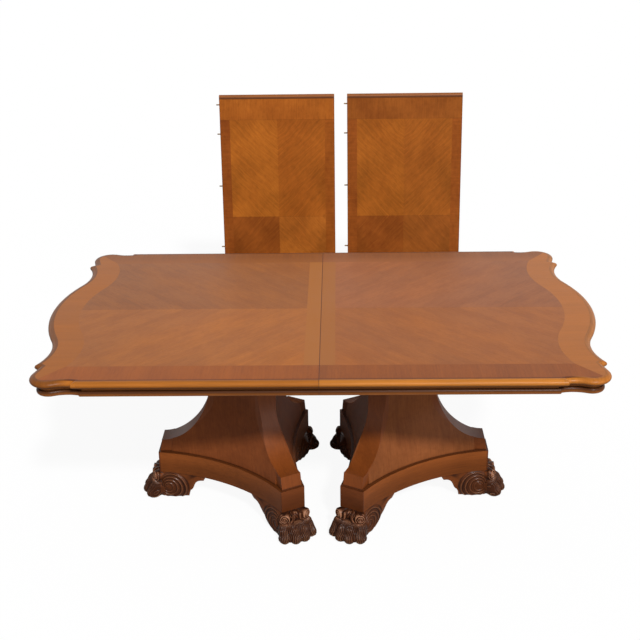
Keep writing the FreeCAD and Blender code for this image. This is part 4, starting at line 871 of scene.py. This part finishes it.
def carved_finish():
    """Dark polished carving: stain left in the hollows, ridges lighter from rubbed wear and painted
    highlight, painted highlight on the hair tips, plain wood on the bracket, painted shadow under the plinth.
    """
    material, shader, (x, y, z) = new_material("carved_walnut")
    hollow, carved, rubbed = [
        x.node("ShaderNodeAttribute", {"attribute_name": label}, output="Fac")
        for label in ("hollow", "carved", "rubbed")
    ]
    streak, lines, fibre, _, cloud = figure(x + y * 0.3, z, y - x * 0.4, *CARVED_STREAKS)
    plain_share = 0.5 + (streak - 0.5) * 0.8 + (lines - 0.5) * 0.8 + (fibre - 0.5) * 0.5
    plain = plain_share.clamped().mixed(*(colour(*tone) for tone in BRACKET_TONES))
    dark_share = 0.5 + (streak - 0.5) * 0.8 + (fibre - 0.5) * 0.6 + (cloud - 0.5) * 0.9
    dark = dark_share.clamped().mixed(*(colour(*tone) for tone in CARVED_TONES))
    tone = carved.mixed(plain, dark)
    tone = (rubbed * 0.75).mixed(tone, colour(*CARVED_RUBBED))
    raised = 0.0 - hollow
    # Lighter ridges and scroll rings: rubbed wear and painted highlight.
    ridge_wear_and_highlight = raised.above(0.05, 0.9) * (0.06 + 0.30 * cloud + 0.15 * rubbed)
    tone = ridge_wear_and_highlight.mixed(tone, colour(*CARVED_RIDGE_WEAR_AND_HIGHLIGHT))
    tone = (raised.above(0.50, 1.0) * rubbed * 0.55).mixed(tone, colour(*CARVED_WORN_AND_HIGHLIGHT))
    # Painted highlight on the raised hair, strongest near the floor.
    tip_highlight = raised.above(0.45, 0.95) * carved * (1 - 0.85 * z.above(*HAIR_HIGHLIGHT_FADE))
    tone = (tip_highlight * 0.70).mixed(tone, colour(*CARVED_TIP_HIGHLIGHT))
    tone = (hollow.above(0.02, 0.75) * 0.86).mixed(tone, colour(*CARVED_HOLLOW))
    # Painted shadow along the foot's top, under the plinth.
    corner = z.above(FOOT_HEIGHT - PAINTED_SHADE_LINE, FOOT_HEIGHT - PAINTED_SHADE_LINE * 0.2)
    link(shader, "Base Color", (corner * 0.6).mixed(tone, colour(*PAINTED_SHADE_BROWN)))
    polish = 0.27 + hollow.above(0.0, 0.8) * 0.25 + (cloud - 0.5) * 0.2 + (fibre - 0.5) * 0.1
    link(shader, "Roughness", polish.clamped())
    bumped(shader, fibre * 0.6 + cloud * 0.5, 0.25, CARVED_BUMP)
    shader.inputs["Specular IOR Level"].default_value = 0.12
    return material


def metal_finish(name, tones, gloss, scratch):
    """Turned or rolled metal: dull film in patches, fine drawn scratches in the bump and the polish."""
    material, shader, (x, y, z) = new_material(name)
    film = x.noise(x * 60.0, y * 60.0, z * 60.0, detail=4.0)
    lines = x.noise(x * 40.0, y * 900.0, z * 900.0, detail=2.0)
    dark, light = tones
    tone = (film + (lines - 0.5) * 0.4).clamped().mixed(colour(*dark), colour(*light))
    link(shader, "Base Color", tone)
    link(shader, "Roughness", (gloss + (film - 0.5) * 0.3 + (lines - 0.5) * scratch).clamped())
    bumped(shader, lines, 0.12, FINE_BUMP)
    shader.inputs["Metallic"].default_value = 1.0
    return material


def glide_finish():
    """Dull dark nylon with a fine moulded grain and floor dust on its lower edge."""
    material, shader, (x, y, z) = new_material("glide_nylon")
    grain = x.noise(x * 900.0, y * 900.0, z * 900.0, detail=2.0)
    dust = (1 - z.above(0.0, DUST_HEIGHT)) * 0.4
    dark, light = NYLON_TONES
    tone = (grain * 0.6).mixed(colour(*dark), colour(*light))
    link(shader, "Base Color", dust.mixed(tone, colour(*FLOOR_DUST)))
    link(shader, "Roughness", 0.5 + grain * 0.2)
    bumped(shader, grain, 0.15, FINE_BUMP)
    return material


def leaf_finishes(side):
    """The four finishes of one leaf, each with the tones of that leaf."""
    leaf = Leaf(side)
    woods = (
        ("field", "field_veneer", leaf.field_grain, LEAF_GOLD, 0.32, 0.36, 0.08, leaf.field_tones),
        ("band", "band_veneer", leaf.band_grain, LEAF_BAND_GOLD, 0.20, 0.36, 0.08, leaf.band_tones),
        ("edge", "end_lipping", leaf.edge_grain, LEAF_EDGE_BROWN, 0.24, 0.40, 0.10, leaf.edge_tones),
        ("moulding", "end_moulding", leaf.edge_grain, BEAD_BROWN, 0.24, 0.34, 0.25, None),
    )
    return {
        "leaf_%s_%s" % (key, side): veneer("leaf_%s_%s" % (name, side), *wood) for key, name, *wood in woods
    }


def finishes():
    """Every finish of the table by its own name."""
    made = {
        "field": veneer("matched_field_veneer", quartered, FIELD_GOLD, retouch=quarter_tones),
        "band": veneer("crossband_veneer", crossbanded, BAND_BROWN, 0.16, 0.34, 0.13, band_tones),
        "end": veneer("shaped_end_veneer", end_grain_band, END_GOLD, 0.14, 0.34, 0.13, end_tones),
        "lipping": veneer("bullnose_lipping", edge_grain, EDGE_GOLD, 0.24, 0.32, 0.12, edge_tones),
        "moulding": veneer("bead_moulding", edge_grain, BEAD_BROWN, 0.24, 0.32, 0.12, moulding_tones),
        "panel": veneer("pedestal_panel_veneer", upright_grain, PANEL_BROWN, 0.24, 0.38, 0.09, panel_tones),
        "fin": veneer("pedestal_fin_wood", upright_grain, FIN_BROWN, 0.24, 0.36, 0.20, upright_tones),
        "plinth": veneer("plinth_lying_wood", lying_grain, PLINTH_BROWN, 0.24, 0.36, 0.12, plinth_tones),
        "stained": veneer("stained_board", rail_grain, STAINED_BROWN, 0.25, 0.5, 0.25),
        "slide": veneer("waxed_slide_wood", rail_grain, SLIDE_TAN, 0.25, 0.5, 0.35),
        "carved": carved_finish(),
        "steel": metal_finish("zinc_plated_steel", STEEL_TONES, 0.36, 0.2),
        "brass": metal_finish("tarnished_brass", BRASS_TONES, 0.45, 0.2),
        "glide": glide_finish(),
    }
    for side in LEAF_TINTS:
        made.update(leaf_finishes(side))
    return made


def finish_names():
    """Finish of each CAD node, from the node's own name."""
    table_words = (
        ("edge_lipping", "lipping"), ("under_moulding", "moulding"), ("field_veneer", "field"),
        ("crossband_veneer", "band"), ("end_band_veneer", "end"), ("slide_rails", "slide"),
        ("middle_rail", "slide"), ("rail_screws", "steel"), ("plinth", "plinth"),
        ("pedestal_fins", "fin"), ("pedestal_panels", "panel"), ("centre_post", "slide"),
        ("cap_plate", "stained"), ("mounting_block", "stained"), ("pedestal_fasteners", "steel"),
        ("floor_glides", "glide"), ("paw_foot", "carved"), ("top_core", "stained"),
        ("seam_pins", "brass"), ("lock_", "steel"),
    )
    leaf_words = (
        ("core", "stained"), ("end_lipping", "leaf_edge_"), ("under_moulding", "leaf_moulding_"),
        ("field_veneer", "leaf_field_"), ("band_veneer", "leaf_band_"), ("seam_pins", "brass"),
    )
    named = {}
    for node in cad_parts:
        words = leaf_words if node.startswith("leaf_") else table_words
        finish = next(finish for word, finish in words if word in node)
        if finish.endswith("_"):
            finish += "left" if node.startswith("leaf_left") else "right"
        named[node] = finish
    return named


def dress_nodes(made):
    """Gives each CAD node its finish."""
    for node, finish in finish_names().items():
        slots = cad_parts[node].data.materials
        slots.clear()
        slots.append(made[finish])


def stand_feet(finish):
    """Six carved feet: two shapes, the second mirrored for the other inner arm, on both pedestals."""
    wide = INNER_ARM
    narrow = (OUTER_ARM - INNER_ARM) / 2
    outer = carved_foot((narrow, narrow))
    inner = carved_foot((wide, narrow))
    feet = (
        ("outer_left", outer, False, -PEDESTAL_X, OUTER_ARM),
        ("front_left", inner, False, -PEDESTAL_X, -INNER_ARM),
        ("rear_left", inner, True, -PEDESTAL_X, INNER_ARM),
        ("outer_right", outer, False, PEDESTAL_X, 0.0),
        ("rear_right", inner, False, PEDESTAL_X, OUTER_ARM - INNER_ARM),
        ("front_right", inner, True, PEDESTAL_X, INNER_ARM - OUTER_ARM),
    )
    for name, shape, mirrored, pedestal, arm in feet:
        body = "left_half" if pedestal < 0 else "right_half"
        piece = foot_piece("carved_foot_" + name, shape, mirrored, pedestal, arm, body, finish)
        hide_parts("paw_foot_" + name)


def seen_share(tree, mirrored):
    """One for rays straight from the camera or through glass, and in a mirror if asked; zero for the rest."""
    start = Shade(tree)
    rays = ("Is Camera Ray", "Is Transmission Ray", "Is Glossy Ray")
    camera, glass, mirror = [start.node("ShaderNodeLightPath", output=ray) for ray in rays]
    return (camera + glass + mirror * float(mirrored)).clamped()


def pale_floor():
    """Wide level sheet under the feet: white to the eye, with the table's shadow left in it."""
    corners = [(x * FLOOR_HALF, y * FLOOR_HALF, 0) for x, y in ((-1, -1), (1, -1), (1, 1), (-1, 1))]
    mesh = bpy.data.meshes.new("studio_floor")
    mesh.from_pydata(corners, [], [(0, 1, 2, 3)])
    floor = bpy.data.objects.new("studio_floor", mesh)
    bpy.context.scene.collection.objects.link(floor)
    material = bpy.data.materials.new("studio_paper")
    material.use_nodes = True
    tree = material.node_tree
    shader = tree.nodes["Principled BSDF"]
    shader.inputs["Roughness"].default_value = 0.9
    shader.inputs["Specular IOR Level"].default_value = 0.0
    seen = seen_share(tree, mirrored=False)
    link(shader, "Base Color", seen.mixed(colour(*FLOOR_GREY), colour(*WHITE)))
    glow = seen.node("ShaderNodeEmission", {}, {"Color": colour(*WHITE), "Strength": 1.0})
    paper = Shade(tree, shader.outputs[0])
    mixed = seen.node("ShaderNodeMixShader", {}, {0: seen * FLOOR_GLOW_SHARE, 1: paper, 2: glow})
    tree.links.new(mixed.socket, tree.nodes["Material Output"].inputs["Surface"])
    mesh.materials.append(material)


def studio_light():
    """Even white surround, a soft light from high in front and a weaker, wider one low in front."""
    world = bpy.data.worlds.new("studio_surround")
    bpy.context.scene.world = world
    world.use_nodes = True
    tree = world.node_tree
    background = tree.nodes["Background"]
    background.inputs["Color"].default_value = colour(*WHITE)
    strength = seen_share(tree, mirrored=True) * (1 - SURROUND_LIGHT) + SURROUND_LIGHT
    tree.links.new(strength.socket, background.inputs["Strength"])
    for name, (way, width, energy) in (("key_light", KEY_LIGHT), ("fill_light", FILL_LIGHT)):
        lamp = bpy.data.lights.new(name, "SUN")
        lamp.angle = width
        lamp.energy = energy
        holder = bpy.data.objects.new(name, lamp)
        turned = (-Vector(way)).to_track_quat("-Z", "Y").to_matrix().to_4x4()
        holder.matrix_world = Matrix.Translation(Vector(way) * LAMP_DISTANCE) @ turned
        bpy.context.scene.collection.objects.link(holder)


def photo_camera():
    """Camera at the photograph's viewpoint: turned by yaw, tipped by pitch, then rolled about its view."""
    data = bpy.data.cameras.new("photo_camera")
    data.sensor_width = SENSOR_WIDTH_MM
    data.lens = SENSOR_WIDTH_MM * FOCAL_PIXELS / IMAGE_WIDTH
    camera = bpy.data.objects.new("photo_camera", data)
    turned = Matrix.Rotation(-CAMERA_YAW, 4, "Z") @ Matrix.Rotation(math.pi / 2 - CAMERA_PITCH, 4, "X")
    camera.matrix_world = Matrix.Translation(CAMERA_PLACE) @ turned @ Matrix.Rotation(CAMERA_ROLL, 4, "Z")
    bpy.context.scene.collection.objects.link(camera)
    bpy.context.scene.camera = camera


made = finishes()
dress_nodes(made)
stand_feet(made["carved"])
pale_floor()
studio_light()
photo_camera()
bpy.context.scene.view_settings.view_transform = "Standard"
